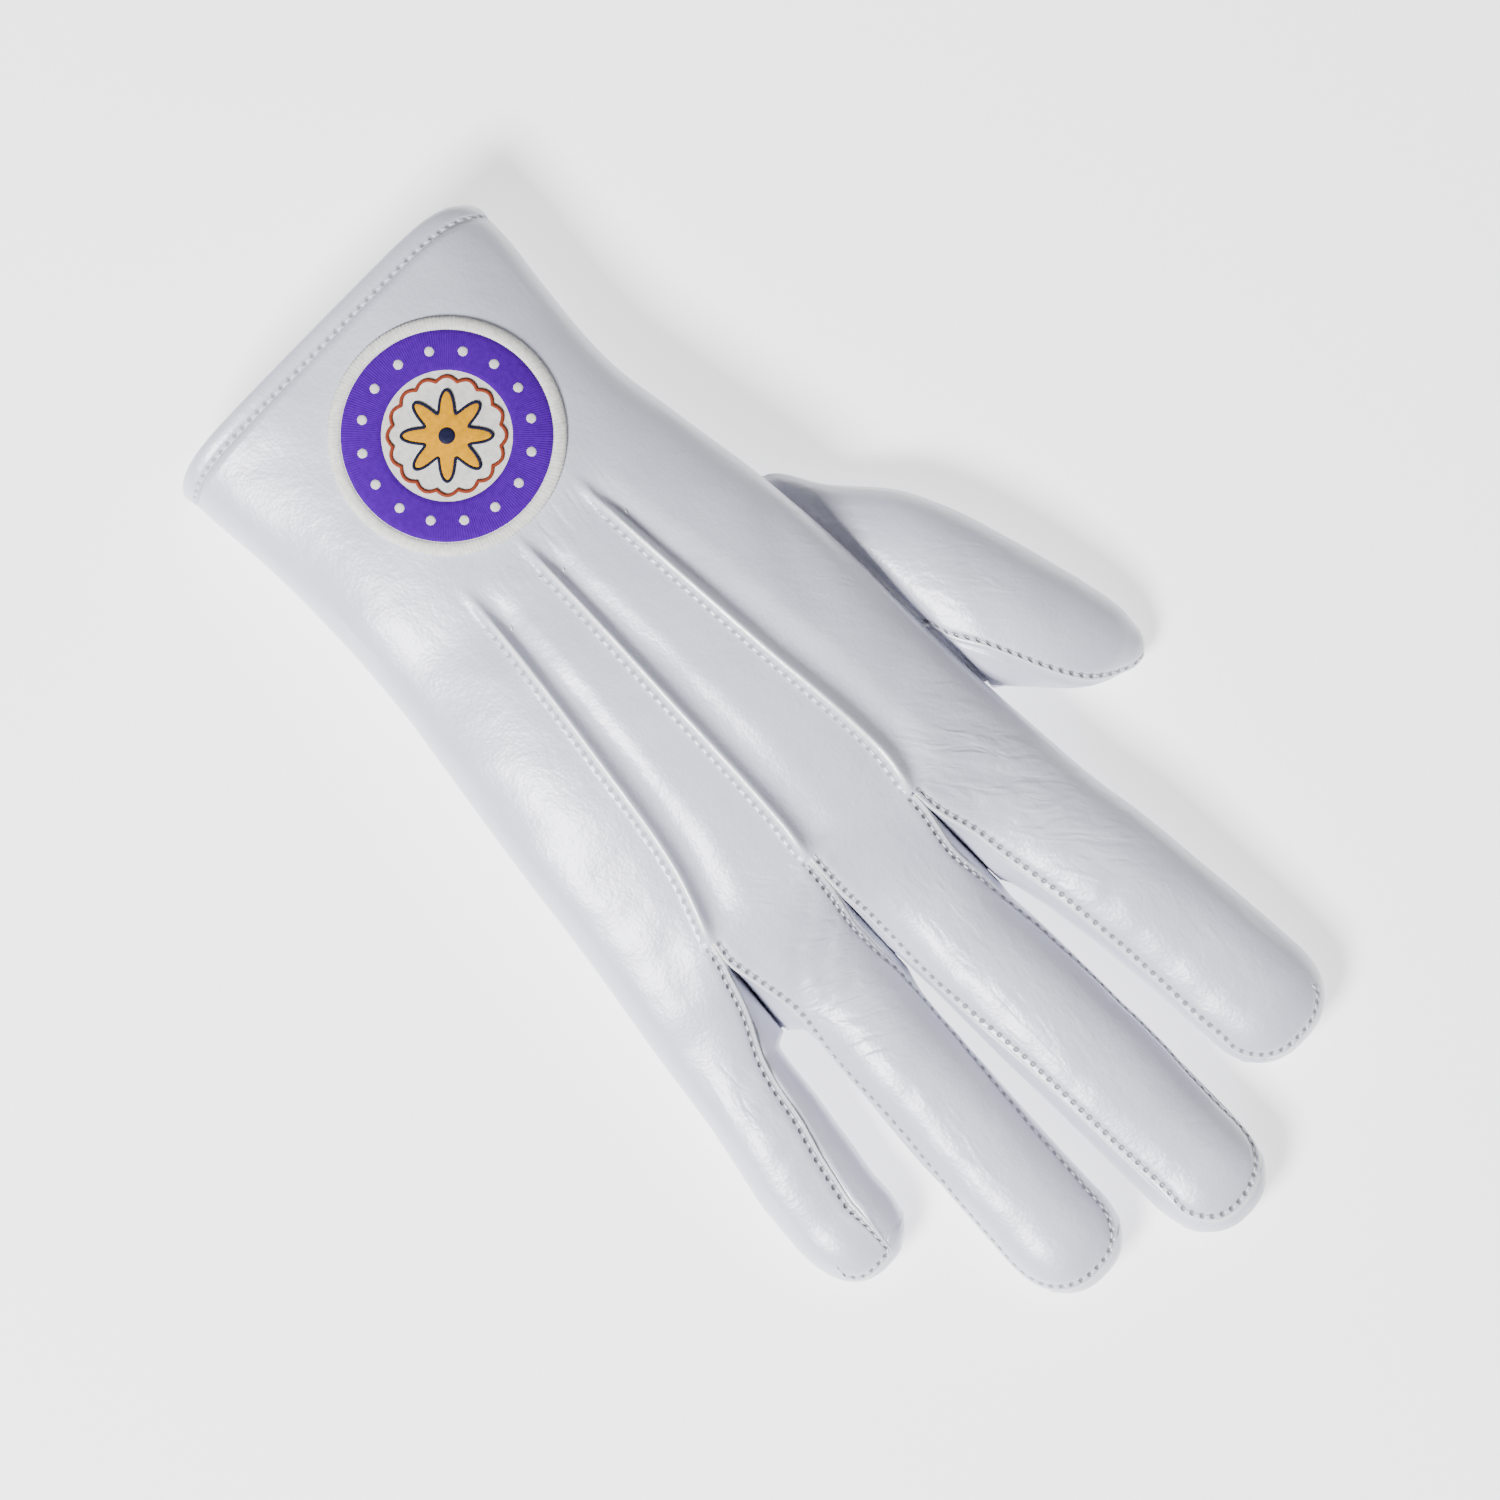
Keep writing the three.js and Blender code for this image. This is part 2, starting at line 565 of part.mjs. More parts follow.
function makeFourchette({ f, side }) {
  const sheet = new Sheet();
  const across = side ? shares(wallSteps) : shares(wallSteps).reverse();
  sheet.grid(range(palmRows, tipRow + 1 + fourchetteEnd), across, (row, w) => wallPoint(f, side, row, w));
  return biggest(thicken(sheet, 0, wall, -seamGap / 2).subtract(trankRoom));
}

// The thumb: rings from inside the palm, through the hole in the trank, to the tip
const thumbSides = 24;
function thumbRing(centre, halfWay, halfHeight, inset) {
  const reach = halfWay.length() - inset;
  const direction = halfWay.clone().normalize();
  return range(0, thumbSides - 1).map((k) => {
    const angle = (2 * Math.PI * k) / thumbSides;
    const c = Math.cos(angle);
    const s = Math.sin(angle);
    const rise = Math.sign(s) * Math.pow(Math.abs(s), thumbRoundness) * (halfHeight - inset);
    return centre.clone().addScaledVector(direction, c * reach).add(at3(0, 0, rise));
  });
}

function thumbLoft(inset) {
  const holeMiddle = thumbStart + thumbHoleLength / 2;
  const s = palmAt(holeMiddle);
  const deep = at3(s.centre - s.half + thumbRoot.depth, holeMiddle, thumbRoot.height);
  const halfHole = at3(0, -0.48 * thumbHoleLength, 0);
  const rings = [
    [deep.clone().add(at3(inset, 0, 0))],
    thumbRing(deep, halfHole, thumbHoleHeight / 2, inset),
  ];
  for (const row of thumbSections) {
    const at = (out, along) => {
      const y = thumbStart + along * thumbLength;
      const p = palmAt(Math.min(y, thumbStart + thumbHoleLength));
      return at3(p.centre - p.half - out * thumbReach, y, 0);
    };
    const near = at(row.nearOut, row.nearAlong);
    const far = at(row.farOut, row.farAlong);
    const height = thumbHeight * row.height;
    const centre = near.clone().lerp(far, 0.5).setZ(height / 2 + thumbDroop * (thumbHeight - height));
    rings.push(thumbRing(centre, near.clone().sub(far).multiplyScalar(0.5), height / 2, inset));
  }
  const last = thumbSections[thumbSections.length - 1];
  const tip = rings[rings.length - 1].reduce((sum, p) => sum.add(p), at3(0, 0, 0)).divideScalar(thumbSides);
  const middle = thumbStart + thumbLength * (0.4 * last.nearAlong + 0.6 * last.farAlong);
  const end = at3(-0.029 * thumbReach, 0.02 * thumbLength, 0);
  rings.push([at3(tip.x, middle, tip.z).add(end).add(at3(0.5 * inset, -inset, 0))]);
  return loft(rings, false);
}

const thumbOuter = thumbLoft(0);
const thumbInner = thumbLoft(wall);
const thumb = biggest(thumbOuter.subtract(thumbInner).subtract(trankRoom));
const trank = thicken(trankSheet, 0, wall, 0).subtract(thumbInner);

// Points round the cuff at a distance y from its edge, with the direction out of the glove.
function cuffRing(y) {
  const s = palmAt(y);
  const fold = 1 - sideFold / s.half;
  const rounding = 1 - palmRounding / s.half;
  const point = (share, heightAt) => at3(s.centre + share * s.half, y, heightAt(s, share));
  const top = shares(cuffSteps).map((u) => point(lerp(-fold, fold, u), upperAt));
  const under = shares(cuffSteps).map((u) => point(lerp(rounding, -rounding, u), underAt));
  const inside = range(1, wallSteps - 1).map((k) => k / wallSteps);
  const right = inside.map((w) => flank(s, 1, fold, rounding, y, w));
  const left = inside.map((w) => flank(s, -1, fold, rounding, y, 1 - w));
  const ring = [...top, ...right, ...under, ...left];
  return ring.map((point, i) => {
    const before = ring[(i + ring.length - 1) % ring.length];
    const after = ring[(i + 1) % ring.length];
    const out = at3(-(after.z - before.z), 0, after.x - before.x).normalize();
    return { point, out };
  });
}

// The hem's section: how far along from the cuff edge, and how far out of the leather's surface.
const hemSection = [
  { along: 1, out: -0.55 },
  { along: 0.8, out: -0.72 },
  { along: 0.4, out: -0.8 },
  { along: 0.08, out: -0.66 },
  { along: 0, out: -0.4 },
  { along: 0.03, out: -0.12 },
  { along: 0.2, out: 0.12 },
  { along: 0.5, out: 0.2 },
  { along: 0.82, out: 0.1 },
  { along: 1, out: -0.08 },
];

function makeHem() {
  const rings = hemSection.map(({ along, out }) =>
    cuffRing(along * hemWidth).map((at) => setBack(at.point.addScaledVector(at.out, out * hemThickness))),
  );
  return loft(rings, true);
}

// A round layer of the patch, over the leather: low and high are heights above it, and radius may vary.
function patchLayer(inner, outer, low, high, steps, segments) {
  const over = (radius, angle, height) => {
    const x = patchAcross + radius * Math.cos(angle);
    const y = patchFromCuff + radius * Math.sin(angle);
    return at3(x, y, palmTop(x, y) + seamGap + height);
  };
  const angles = range(0, segments - 1).map((k) => (2 * Math.PI * k) / segments);
  const ring = (share, height) => angles.map((a) => over(lerp(inner(a), outer(a), share), a, height));
  const lower = shares(steps).map((share) => ring(share, low));
  const upper = shares(steps).reverse().map((share) => ring(share, high));
  if (inner(0) > 0) return loft([...lower, ...upper], true);
  lower[0] = [over(0, 0, low)];
  upper[steps] = [over(0, 0, high)];
  return loft([...lower, ...upper], false);
}

const patchRadius = patchDiameter / 2;
const groundRadius = patchRadius - patchBorderWidth - seamGap;
const circle = (radius) => () => radius;
const petalled = (angle) => (rosetteDiameter / 2) * (0.78 + 0.22 * Math.cos(rosettePetals * angle));
const threadLow = patchThickness + seamGap;
const threadHigh = threadLow + threadThickness;

const leather = { color: 0xdfe0e6, roughness: 0.42, metalness: 0 };
const pieces = [
  { name: "trank", solid: trank, finish: leather },
  ...fourchettes.map((place) => ({ name: place.name, solid: makeFourchette(place), finish: leather })),
  { name: "thumb", solid: thumb, finish: leather },
  { name: "cuff_hem", solid: makeHem(), finish: leather },
  {
    name: "patch_ground",
    solid: patchLayer(circle(0), circle(groundRadius), 0, patchThickness, 3, 36),
    finish: { color: 0xf1efe9, roughness: 0.85, metalness: 0 },
  },
  {
    name: "patch_border",
    solid: patchLayer(circle(groundRadius + seamGap), circle(patchRadius), 0, patchBorderThickness, 1, 48),
    finish: { color: 0xf4f2ee, roughness: 0.8, metalness: 0 },
  },
  {
    name: "patch_band",
    solid: patchLayer(circle(bandInner), circle(bandOuter), threadLow, threadHigh, 2, 36),
    finish: { color: 0x4b3a78, roughness: 0.7, metalness: 0 },
  },
  {
    name: "patch_rosette",
    solid: patchLayer(circle(0), petalled, threadLow, threadHigh, 2, 6 * rosettePetals),
    finish: { color: 0xd9a33a, roughness: 0.6, metalness: 0 },
  },
];

// The whole glove, with its origin under the middle of the palm
const glove = new THREE.Group();
glove.position.y = -restAt * palmLength;
for (const { name, solid, finish } of pieces) {
  const { vertProperties, triVerts } = solid.getMesh();
  const geometry = new THREE.BufferGeometry();
  geometry.setAttribute("position", new THREE.BufferAttribute(vertProperties, 3));
  geometry.setIndex(new THREE.BufferAttribute(triVerts, 1));
  const mesh = new THREE.Mesh(geometry, new THREE.MeshStandardMaterial(finish));
  mesh.name = name;
  glove.add(mesh);
}

const part = new THREE.Group();
part.add(glove);
export default part;
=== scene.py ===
import math
from collections import namedtuple

import bpy
import numpy as np
from mathutils import Matrix


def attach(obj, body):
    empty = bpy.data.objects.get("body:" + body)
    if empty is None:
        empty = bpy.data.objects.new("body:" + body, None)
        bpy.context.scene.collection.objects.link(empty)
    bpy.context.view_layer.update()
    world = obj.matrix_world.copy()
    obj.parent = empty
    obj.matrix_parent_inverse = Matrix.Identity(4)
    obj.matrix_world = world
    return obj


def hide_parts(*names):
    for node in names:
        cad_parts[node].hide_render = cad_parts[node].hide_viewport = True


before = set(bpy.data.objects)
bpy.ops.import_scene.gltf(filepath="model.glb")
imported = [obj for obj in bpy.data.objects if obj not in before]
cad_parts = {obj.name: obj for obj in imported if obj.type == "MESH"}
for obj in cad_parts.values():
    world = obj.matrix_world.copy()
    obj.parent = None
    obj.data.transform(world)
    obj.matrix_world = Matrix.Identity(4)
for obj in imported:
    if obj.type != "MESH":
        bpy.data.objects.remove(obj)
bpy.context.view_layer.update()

# Camera
# It looks straight down on the back of the glove from far above, turned so that the fingers point to the
# lower right of the picture.
PHOTO_SPAN = 0.306  # metres of table across the picture
CAMERA_PLACE = (-0.0005, 0.0476, 1.6)
FINGERS_TURN = math.radians(44.385)  # from the picture's right side down to the fingers' direction
camera_data = bpy.data.cameras.new("camera")
camera_data.sensor_width = 36
camera_data.lens = camera_data.sensor_width * CAMERA_PLACE[2] / PHOTO_SPAN
camera = bpy.data.objects.new("camera", camera_data)
bpy.context.scene.collection.objects.link(camera)
right = (-math.sin(FINGERS_TURN), math.cos(FINGERS_TURN), 0)
up = (-math.cos(FINGERS_TURN), -math.sin(FINGERS_TURN), 0)
camera.matrix_world = Matrix((
    (right[0], up[0], 0, CAMERA_PLACE[0]),
    (right[1], up[1], 0, CAMERA_PLACE[1]),
    (right[2], up[2], 1, CAMERA_PLACE[2]),
    (0, 0, 0, 1),
))
bpy.context.scene.camera = camera

# Trank
# One cut of thin white leather is the glove's back, its palm and the fronts and backs of the fingers. It is
# folded at the index side and sewn up the little finger side, and three raised points run up its back.
# Millimetres here, and y is measured from the cuff edge.
MM = 0.001
ORIGIN_Y = 74.0  # the frame's origin, from the cuff edge
LEATHER = 1.1
PALM_LENGTH = 148
CUFF_WIDTH, WRIST_WIDTH, PALM_WIDTH = 82.5, 78.4, 100.2
CUFF_HEIGHT, WRIST_HEIGHT, PALM_HEIGHT, KNUCKLE_HEIGHT = 30, 31, 32, 27
HEM_WIDTH = 4.2
SIDE_FOLD = 3.5  # how far in from its outer sides the glove's back ends
PALM_ROUNDING, FINGER_ROUNDING = 10, 3.6  # how far in from the sides the undersides end
WEB_DEPTH, WEB_HEIGHT = 25.5, 3
FORK_BLEND = 32  # millimetres past a fork over which the palm's height turns into the fingers'
SLOT_BLENDS = (32, 16, 18, 8, 32)  # how soon the seams part beside each of the five boundaries
WEB_BLENDS = (1.5, 0.8, 1.4, 0.4, 1.5)  # how soon the undersides part past the webs, in rows
PALM_TOP, PALM_UNDER, FINGER_TOP, FINGER_UNDER = 2.6, 4, 2.3, 2.8  # powers of the sections' curves
SLOT_GAP = 0.15  # left on each side between the walls of two neighbouring fingers
CONTACT = 0.15  # a round underside lies flat where it would be lower than this
TABLE_TOP = -0.5  # the hem's lower side rests on it


def table(columns, *rows):
    """Rows of numbers under named columns."""
    return dict(zip(columns.split(), np.array(rows, dtype=float).T))


PALM = table(
    "at left right height side",
    (0, -0.488 * CUFF_WIDTH, 0.512 * CUFF_WIDTH, CUFF_HEIGHT, 0.5),
    (0.06, -0.488 * CUFF_WIDTH, 0.512 * CUFF_WIDTH, CUFF_HEIGHT, 0.5),
    (0.17, -0.465 * CUFF_WIDTH, 0.502 * CUFF_WIDTH, CUFF_HEIGHT, 0.5),
    (0.32, -0.471 * WRIST_WIDTH, 0.529 * WRIST_WIDTH, WRIST_HEIGHT, 0.5),
    (0.44, -0.391 * PALM_WIDTH, 0.429 * PALM_WIDTH, WRIST_HEIGHT, 0.52),
    (0.56, -0.415 * PALM_WIDTH, 0.457 * PALM_WIDTH, PALM_HEIGHT, 0.53),
    (0.72, -0.43 * PALM_WIDTH, 0.495 * PALM_WIDTH, PALM_HEIGHT, 0.53),
    (0.86, -0.43 * PALM_WIDTH, 0.525 * PALM_WIDTH, (PALM_HEIGHT + KNUCKLE_HEIGHT) / 2, 0.5),
    (1, -0.436 * PALM_WIDTH, 0.562 * PALM_WIDTH, KNUCKLE_HEIGHT, 0.46),
    (1.13, -0.447 * PALM_WIDTH, 0.596 * PALM_WIDTH, 0.9 * KNUCKLE_HEIGHT, 0.44),
    (1.3, -0.47 * PALM_WIDTH, 0.64 * PALM_WIDTH, 0.8 * KNUCKLE_HEIGHT, 0.42),
)
# The lines that divide the back into four strips, one for each finger
DIVIDERS = [
    table("at across", (0, -0.14), (0.44, -0.15), (0.72, -0.171), (0.94, -0.19), (1.019, -0.173)),
    table("at across", (0, 0.012), (0.44, 0.018), (0.72, 0.037), (0.91, 0.053), (0.979, 0.067)),
    table("at across", (0, 0.15), (0.44, 0.172), (0.72, 0.228), (0.86, 0.268), (0.967, 0.3245)),
]
WEBS = table("across depth", (-0.17, 0.83), (0.083, 0.95), (0.352, 0.89))
POINTS_FROM = 0.43  # where the raised points' crests start, as a share of PALM_LENGTH
# In a finger's sections at is a share of its length, centre a share of PALM_WIDTH, half a share of its width,
# and thumb_seam and little_seam, the edges of its back, are shares of its half width.
FINGER_COLUMNS = "at centre half thumb_seam little_seam"
FINGERS = [
    dict(length=95.3, width=26.4, height=20, tip=0.54, square=2.4, sections=table(
        FINGER_COLUMNS,
        (0, -0.3065, 0.49, -1, 1),
        (0.165, -0.31, 0.508, -1, 0.84),
        (0.293, -0.3175, 0.522, -1, 0.76),
        (0.422, -0.337, 0.508, -1, 0.8),
        (0.636, -0.356, 0.496, -1, 0.87),
        (0.85, -0.369, 0.496, -1, 0.89),
    )),
    dict(length=112.3, width=25.2, height=20, tip=0.66, square=2.3, sections=table(
        FINGER_COLUMNS,
        (0, -0.046, 0.47, -1, 1),
        (0.14, -0.043, 0.475, -0.9, 0.95),
        (0.25, -0.041, 0.48, -0.93, 0.93),
        (0.36, -0.041, 0.502, -0.95, 0.86),
        (0.54, -0.042, 0.5, -0.985, 0.78),
        (0.83, -0.039, 0.485, -0.985, 0.74),
    )),
    dict(length=99.8, width=23.1, height=19, tip=0.63, square=2.4, sections=table(
        FINGER_COLUMNS,
        (0, 0.207, 0.55, -1, 1),
        (0.16, 0.206, 0.51, -0.93, 0.88),
        (0.28, 0.209, 0.49, -0.96, 0.97),
        (0.4, 0.222, 0.486, -0.98, 0.95),
        (0.65, 0.241, 0.5, -0.93, 0.97),
        (0.85, 0.251, 0.5, -0.89, 0.985),
    )),
    dict(length=67.1, width=22.5, height=18, tip=0.64, square=2.5, sections=table(
        FINGER_COLUMNS,
        (0, 0.451, 0.5, -1, 1),
        (0.14, 0.466, 0.5, -0.84, 1),
        (0.3, 0.488, 0.475, -0.6, 1),
        (0.5, 0.512, 0.492, -0.5, 1),
        (0.6, 0.526, 0.495, -0.44, 1),
        (0.78, 0.543, 0.48, -0.36, 1),
    )),
]
FINGER_LIFT = 2  # how far the middle of each finger arches off the table
TIP_HEIGHT, FINGER_SIDE = 0.86, 0.45  # shares of a finger's height: at its tip, and up to its widest line
OUTER_SIDES = ((0, 0), (3, 1))  # the index finger's thumb side and the little finger's outer side
PALM_ROWS, WEB_ROW, TIP_ROW = 12, 15, 21


def lerp(a, b, t):
    """From a to b by the share t."""
    return a + (b - a) * t


def smooth(t):
    """Eases from 0 to 1 as t goes from 0 to 1."""
    t = np.clip(t, 0, 1)
    return t * t * (3 - 2 * t)


def follow(rows, column, at):
    """Cubic Hermite curve through a table's rows, each slope taken from the rows on both sides of it."""
    x, v = rows["at"], rows[column]
    before, after = np.maximum(np.arange(len(x)) - 1, 0), np.minimum(np.arange(len(x)) + 1, len(x) - 1)
    slope = (v[after] - v[before]) / (x[after] - x[before])
    k = np.clip(np.searchsorted(x, at) - 1, 0, len(x) - 2)
    span = x[k + 1] - x[k]
    s = np.clip((at - x[k]) / span, 0, 1)
    start = (2 * s - 3) * s * s + 1
    bends = (s - 1) ** 2 * s * span * slope[k] + (s - 1) * s * s * span * slope[k + 1]
    return start * v[k] + (1 - start) * v[k + 1] + bends


def arch(share, power):
    """Height of a unit superellipse over a share of its half width."""
    return (1 - np.clip(np.abs(share), 0, 1) ** power) ** (1 / power)


def edge_angle(share, power):
    """Angle at which the superellipse has that share of its half width."""
    return np.arccos(np.clip(np.abs(share), 0, 1) ** (power / 2))


# Section across the palm or a finger: x of its middle, half width, height, height of its widest line, lift
# off the table, and the powers of its upper and lower curves
Section = namedtuple("Section", "centre half height widest lift top under")


def palm_at(y):
    """Section of the palm at y."""
    left, right = (follow(PALM, side, y / PALM_LENGTH) for side in ("left", "right"))
    height = follow(PALM, "height", y / PALM_LENGTH)
    widest = height * follow(PALM, "side", y / PALM_LENGTH)
    return Section((left + right) / 2, (right - left) / 2, height, widest, 0, PALM_TOP, PALM_UNDER)


def tip_start(f):
    """Where a finger's straight part ends and its round tip starts, along y."""
    return PALM_LENGTH + FINGERS[f]["length"] - FINGERS[f]["tip"] * FINGERS[f]["width"]


def finger_at(f, y):
    """Section of a finger at y."""
    finger = FINGERS[f]
    at = (y - PALM_LENGTH) / finger["length"]
    run = np.clip((y - PALM_LENGTH) / (tip_start(f) - PALM_LENGTH), 0, 1)
    height = finger["height"] * lerp(1, TIP_HEIGHT, run)
    centre = follow(finger["sections"], "centre", at) * PALM_WIDTH
    half = follow(finger["sections"], "half", at) * finger["width"]
    lift = FINGER_LIFT * np.sin(np.pi * run) ** 2
    return Section(centre, half, height, FINGER_SIDE * height, lift, FINGER_TOP, FINGER_UNDER)


def upper(s, share):
    """Height of a section's upper surface over a share of its half width."""
    return s.lift + s.widest + (s.height - s.widest) * arch(share, s.top)


def under(s, share):
    """Height of a section's lower surface, flat where it lies on the table."""
    z = s.widest * (1 - arch(share, s.under))
    return s.lift + np.maximum(z - CONTACT, 0) * s.widest / (s.widest - CONTACT)


def points(x, y, z):
    """Array of points with those coordinates."""
    return np.stack(np.broadcast_arrays(x, y, z), -1).astype(float)


def flank(s, sign, top_share, under_share, y, w):
    """Point of a section's side, w from 0 at a share of its top to 1 at a share of its underside."""
    angle = lerp(edge_angle(top_share, s.top), -edge_angle(under_share, s.under), w)
    share = np.maximum(np.cos(angle), 0) ** (2 / np.where(angle > 0, s.top, s.under))
    return points(s.centre + sign * s.half * share, y, np.where(angle > 0, upper(s, share), under(s, share)))


FORKS = [
    dict(
        x=line["across"][-1] * PALM_WIDTH,
        y=line["at"][-1] * PALM_LENGTH,
        web_x=WEBS["across"][i] * PALM_WIDTH,
        web_y=line["at"][-1] * PALM_LENGTH + WEBS["depth"][i] * WEB_DEPTH,
    )
    for i, line in enumerate(DIVIDERS)
]


def fork_of(boundary):
    """Fork at the end of a boundary between strips, or the nearest one where it is an outer side."""
    return FORKS[min(max(boundary, 1), 3) - 1]


def row_y(f, boundary, row):
    """Rows 0 to 12 run from hem to fork, to 15 on to the web, and to 21 along the finger to its tip."""
    fork = fork_of(boundary)
    stops = [HEM_WIDTH, fork["y"], fork["web_y"], tip_start(f)]
    return np.interp(row, [0, PALM_ROWS, WEB_ROW, TIP_ROW], stops)


def boundary_x(boundary, y, inset):
    """Where a strip's edge lies on the palm: boundary 0 is the thumb side and 4 the little finger side."""
    s = palm_at(y)
    if boundary in (0, 4):
        sign = -1 if boundary == 0 else 1
        return s.centre + sign * (s.half - inset)
    fork = fork_of(boundary)
    on_palm = follow(DIVIDERS[boundary - 1], "across", y / PALM_LENGTH) * PALM_WIDTH
    to_web = lerp(fork["x"], fork["web_x"], np.clip((y - fork["y"]) / (fork["web_y"] - fork["y"]), 0, 1))
    return np.where(y <= fork["y"], on_palm, to_web)


def edge_share(f, face, side, y, half):
    """Share of a finger's half width at the edge of its back or underside."""
    sign = 2 * side - 1
    if face == "under":
        return sign * (1 - FINGER_ROUNDING / half)
    if (f, side) in OUTER_SIDES:
        return sign * (1 - SIDE_FOLD / half)
    column = "little_seam" if side else "thumb_seam"
    return follow(FINGERS[f]["sections"], column, (y - PALM_LENGTH) / FINGERS[f]["length"])


def finger_mix(face, boundary, y, row, blend=FORK_BLEND):
    """How far a strip has turned from palm to finger at one of its boundaries."""
    if face == "top":
        return smooth((y - fork_of(boundary)["y"]) / blend)
    return smooth((row - WEB_ROW) / WEB_BLENDS[boundary])


def strip_point(f, face, row, u):
    """Point of a strip's back or underside, u from its thumb side to its little finger side."""
    y_left, y_right = row_y(f, f, row), row_y(f, f + 1, row)
    y = lerp(y_left, y_right, u)
    inset = SIDE_FOLD if face == "top" else PALM_ROUNDING
    x = lerp(boundary_x(f, y_left, inset), boundary_x(f + 1, y_right, inset), u)
    palm = palm_at(y)
    share = (x - palm.centre) / palm.half
    spread = lerp(finger_mix(face, f, y_left, row, SLOT_BLENDS[f]),
                  finger_mix(face, f + 1, y_right, row, SLOT_BLENDS[f + 1]), u)
    drop = lerp(finger_mix(face, f, y_left, row), finger_mix(face, f + 1, y_right, row), u)
    if face == "top":
        z = upper(palm, share)
    else:
        # The webs pull up the underside beside them.
        rise = np.clip(1 - np.abs(row - WEB_ROW) / 3, 0, 1)
        near = (f > 0) * (1 - u) ** 4 + (f < 3) * u**4
        z = under(palm, share) + WEB_HEIGHT * rise * near
    s = finger_at(f, y)
    left, right = (
        edge_share(f, face, side, ys, finger_at(f, ys).half) for side, ys in ((0, y_left), (1, y_right))
    )
    share = lerp(left, right, u)
    height = upper(s, share) if face == "top" else under(s, share)
    return points(lerp(x, s.centre + s.half * share, spread), y, lerp(z, height, drop))


# Round a fingertip the rows fan out from the end of its middle line, phi from -90 degrees on the thumb side
# over 0 at the tip to 90 degrees on the little finger side.
FAN = np.radians(np.linspace(-90, 90, 49))
RIMS = (0.93, 0.8, 0.87, 0.92)  # reach of the back's seam round each tip, as a share of the tip's outline
LEANS = (0, 0, 0, 0.42)  # how far the leather is rolled towards the little finger's side inside each tip


def fan_direction(f, phi):
    """Place on the tip's unit superellipse at phi: its sine and cosine, each to the power 2 / square."""
    power = 2 / FINGERS[f]["square"]
    return np.sign(phi) * np.abs(np.sin(phi)) ** power, np.abs(np.cos(phi)) ** power


def run_out(share, limit, across):
    """Share of the half width at the seam's edge round a tip: the edge keeps its straight way until it
    eases into the limit by a cubic."""
    room = np.maximum(limit - share, 1e-6)
    left = np.clip((limit - share / np.maximum(np.abs(across), 1e-6)) / room, 0, 1)
    eased = limit - room * (2 * left**2 - left**3)
    return np.where(share < limit, eased, lerp(limit, share, np.abs(across) ** 3))


def fan_angles(f, phi):
    """Section angles at the edges of a fingertip's back and of its underside, 0 at the widest line. The two
    meet where the side wall has run out, later where that wall is wide."""
    y = tip_start(f)
    s = finger_at(f, y)
    across, _ = fan_direction(f, phi)
    back, underside = (
        np.where(phi < 0, *(np.abs(edge_share(f, face, side, y, s.half)) for side in (0, 1)))
        for face in ("top", "under")
    )
    top = edge_angle(run_out(back, RIMS[f], across), s.top)
    low = edge_angle(underside, s.under)
    meeting = lerp(0.9, 1.25, back < 0.6)
    return top, lerp(-low, top, smooth((math.pi / 2 - np.abs(phi)) / meeting))


def tip_point(f, across, tip, high):
    """Point of a fingertip over a share across its half width and a share along its length."""
    square = FINGERS[f]["square"]
    y = tip_start(f) + FINGERS[f]["tip"] * FINGERS[f]["width"] * tip
    s = finger_at(f, y)
    widest = np.maximum(1 - np.abs(tip) ** square, 1e-9) ** (1 / square)
    rolled = across + LEANS[f] * tip**2 * np.maximum(widest - across**2 / widest, 0)
    reach = (np.abs(rolled) ** square + np.abs(tip) ** square) ** (1 / square)
    return points(s.centre + s.half * rolled, y, np.where(high, upper(s, reach), under(s, reach)))


def fan_reach(f, angle):
    """Share of the half width that the section has at an angle where a fingertip starts."""
    s = finger_at(f, tip_start(f))
    return np.maximum(np.cos(angle), 0) ** (2 / np.where(angle > 0, s.top, s.under))


def fan_point(f, face, phi, b):
    """Point of the back or underside of a fingertip, b from 0 at its edge to 1 at the middle line's end."""
    y = tip_start(f)
    half = finger_at(f, y).half
    middle = (edge_share(f, face, 0, y, half) + edge_share(f, face, 1, y, half)) / 2
    x, t = fan_direction(f, phi)
    top, low = fan_angles(f, phi)
    if face == "top":
        edge = fan_reach(f, top)
        return tip_point(f, lerp(edge * x, middle, b), lerp(edge * t, 0, b), True)
    angle = lerp(low, -np.pi / 2, b)
    reach = fan_reach(f, angle)
    return tip_point(f, reach * x + middle * b**2, reach * t, angle > 0)


def wall_fan_point(f, phi, w):
    """The side wall where it runs out round the fingertip."""
    top, low = fan_angles(f, phi)
    angle = lerp(top, low, w)
    reach = fan_reach(f, angle)
    x, t = fan_direction(f, phi)
    return tip_point(f, reach * x, reach * t, angle > 0)


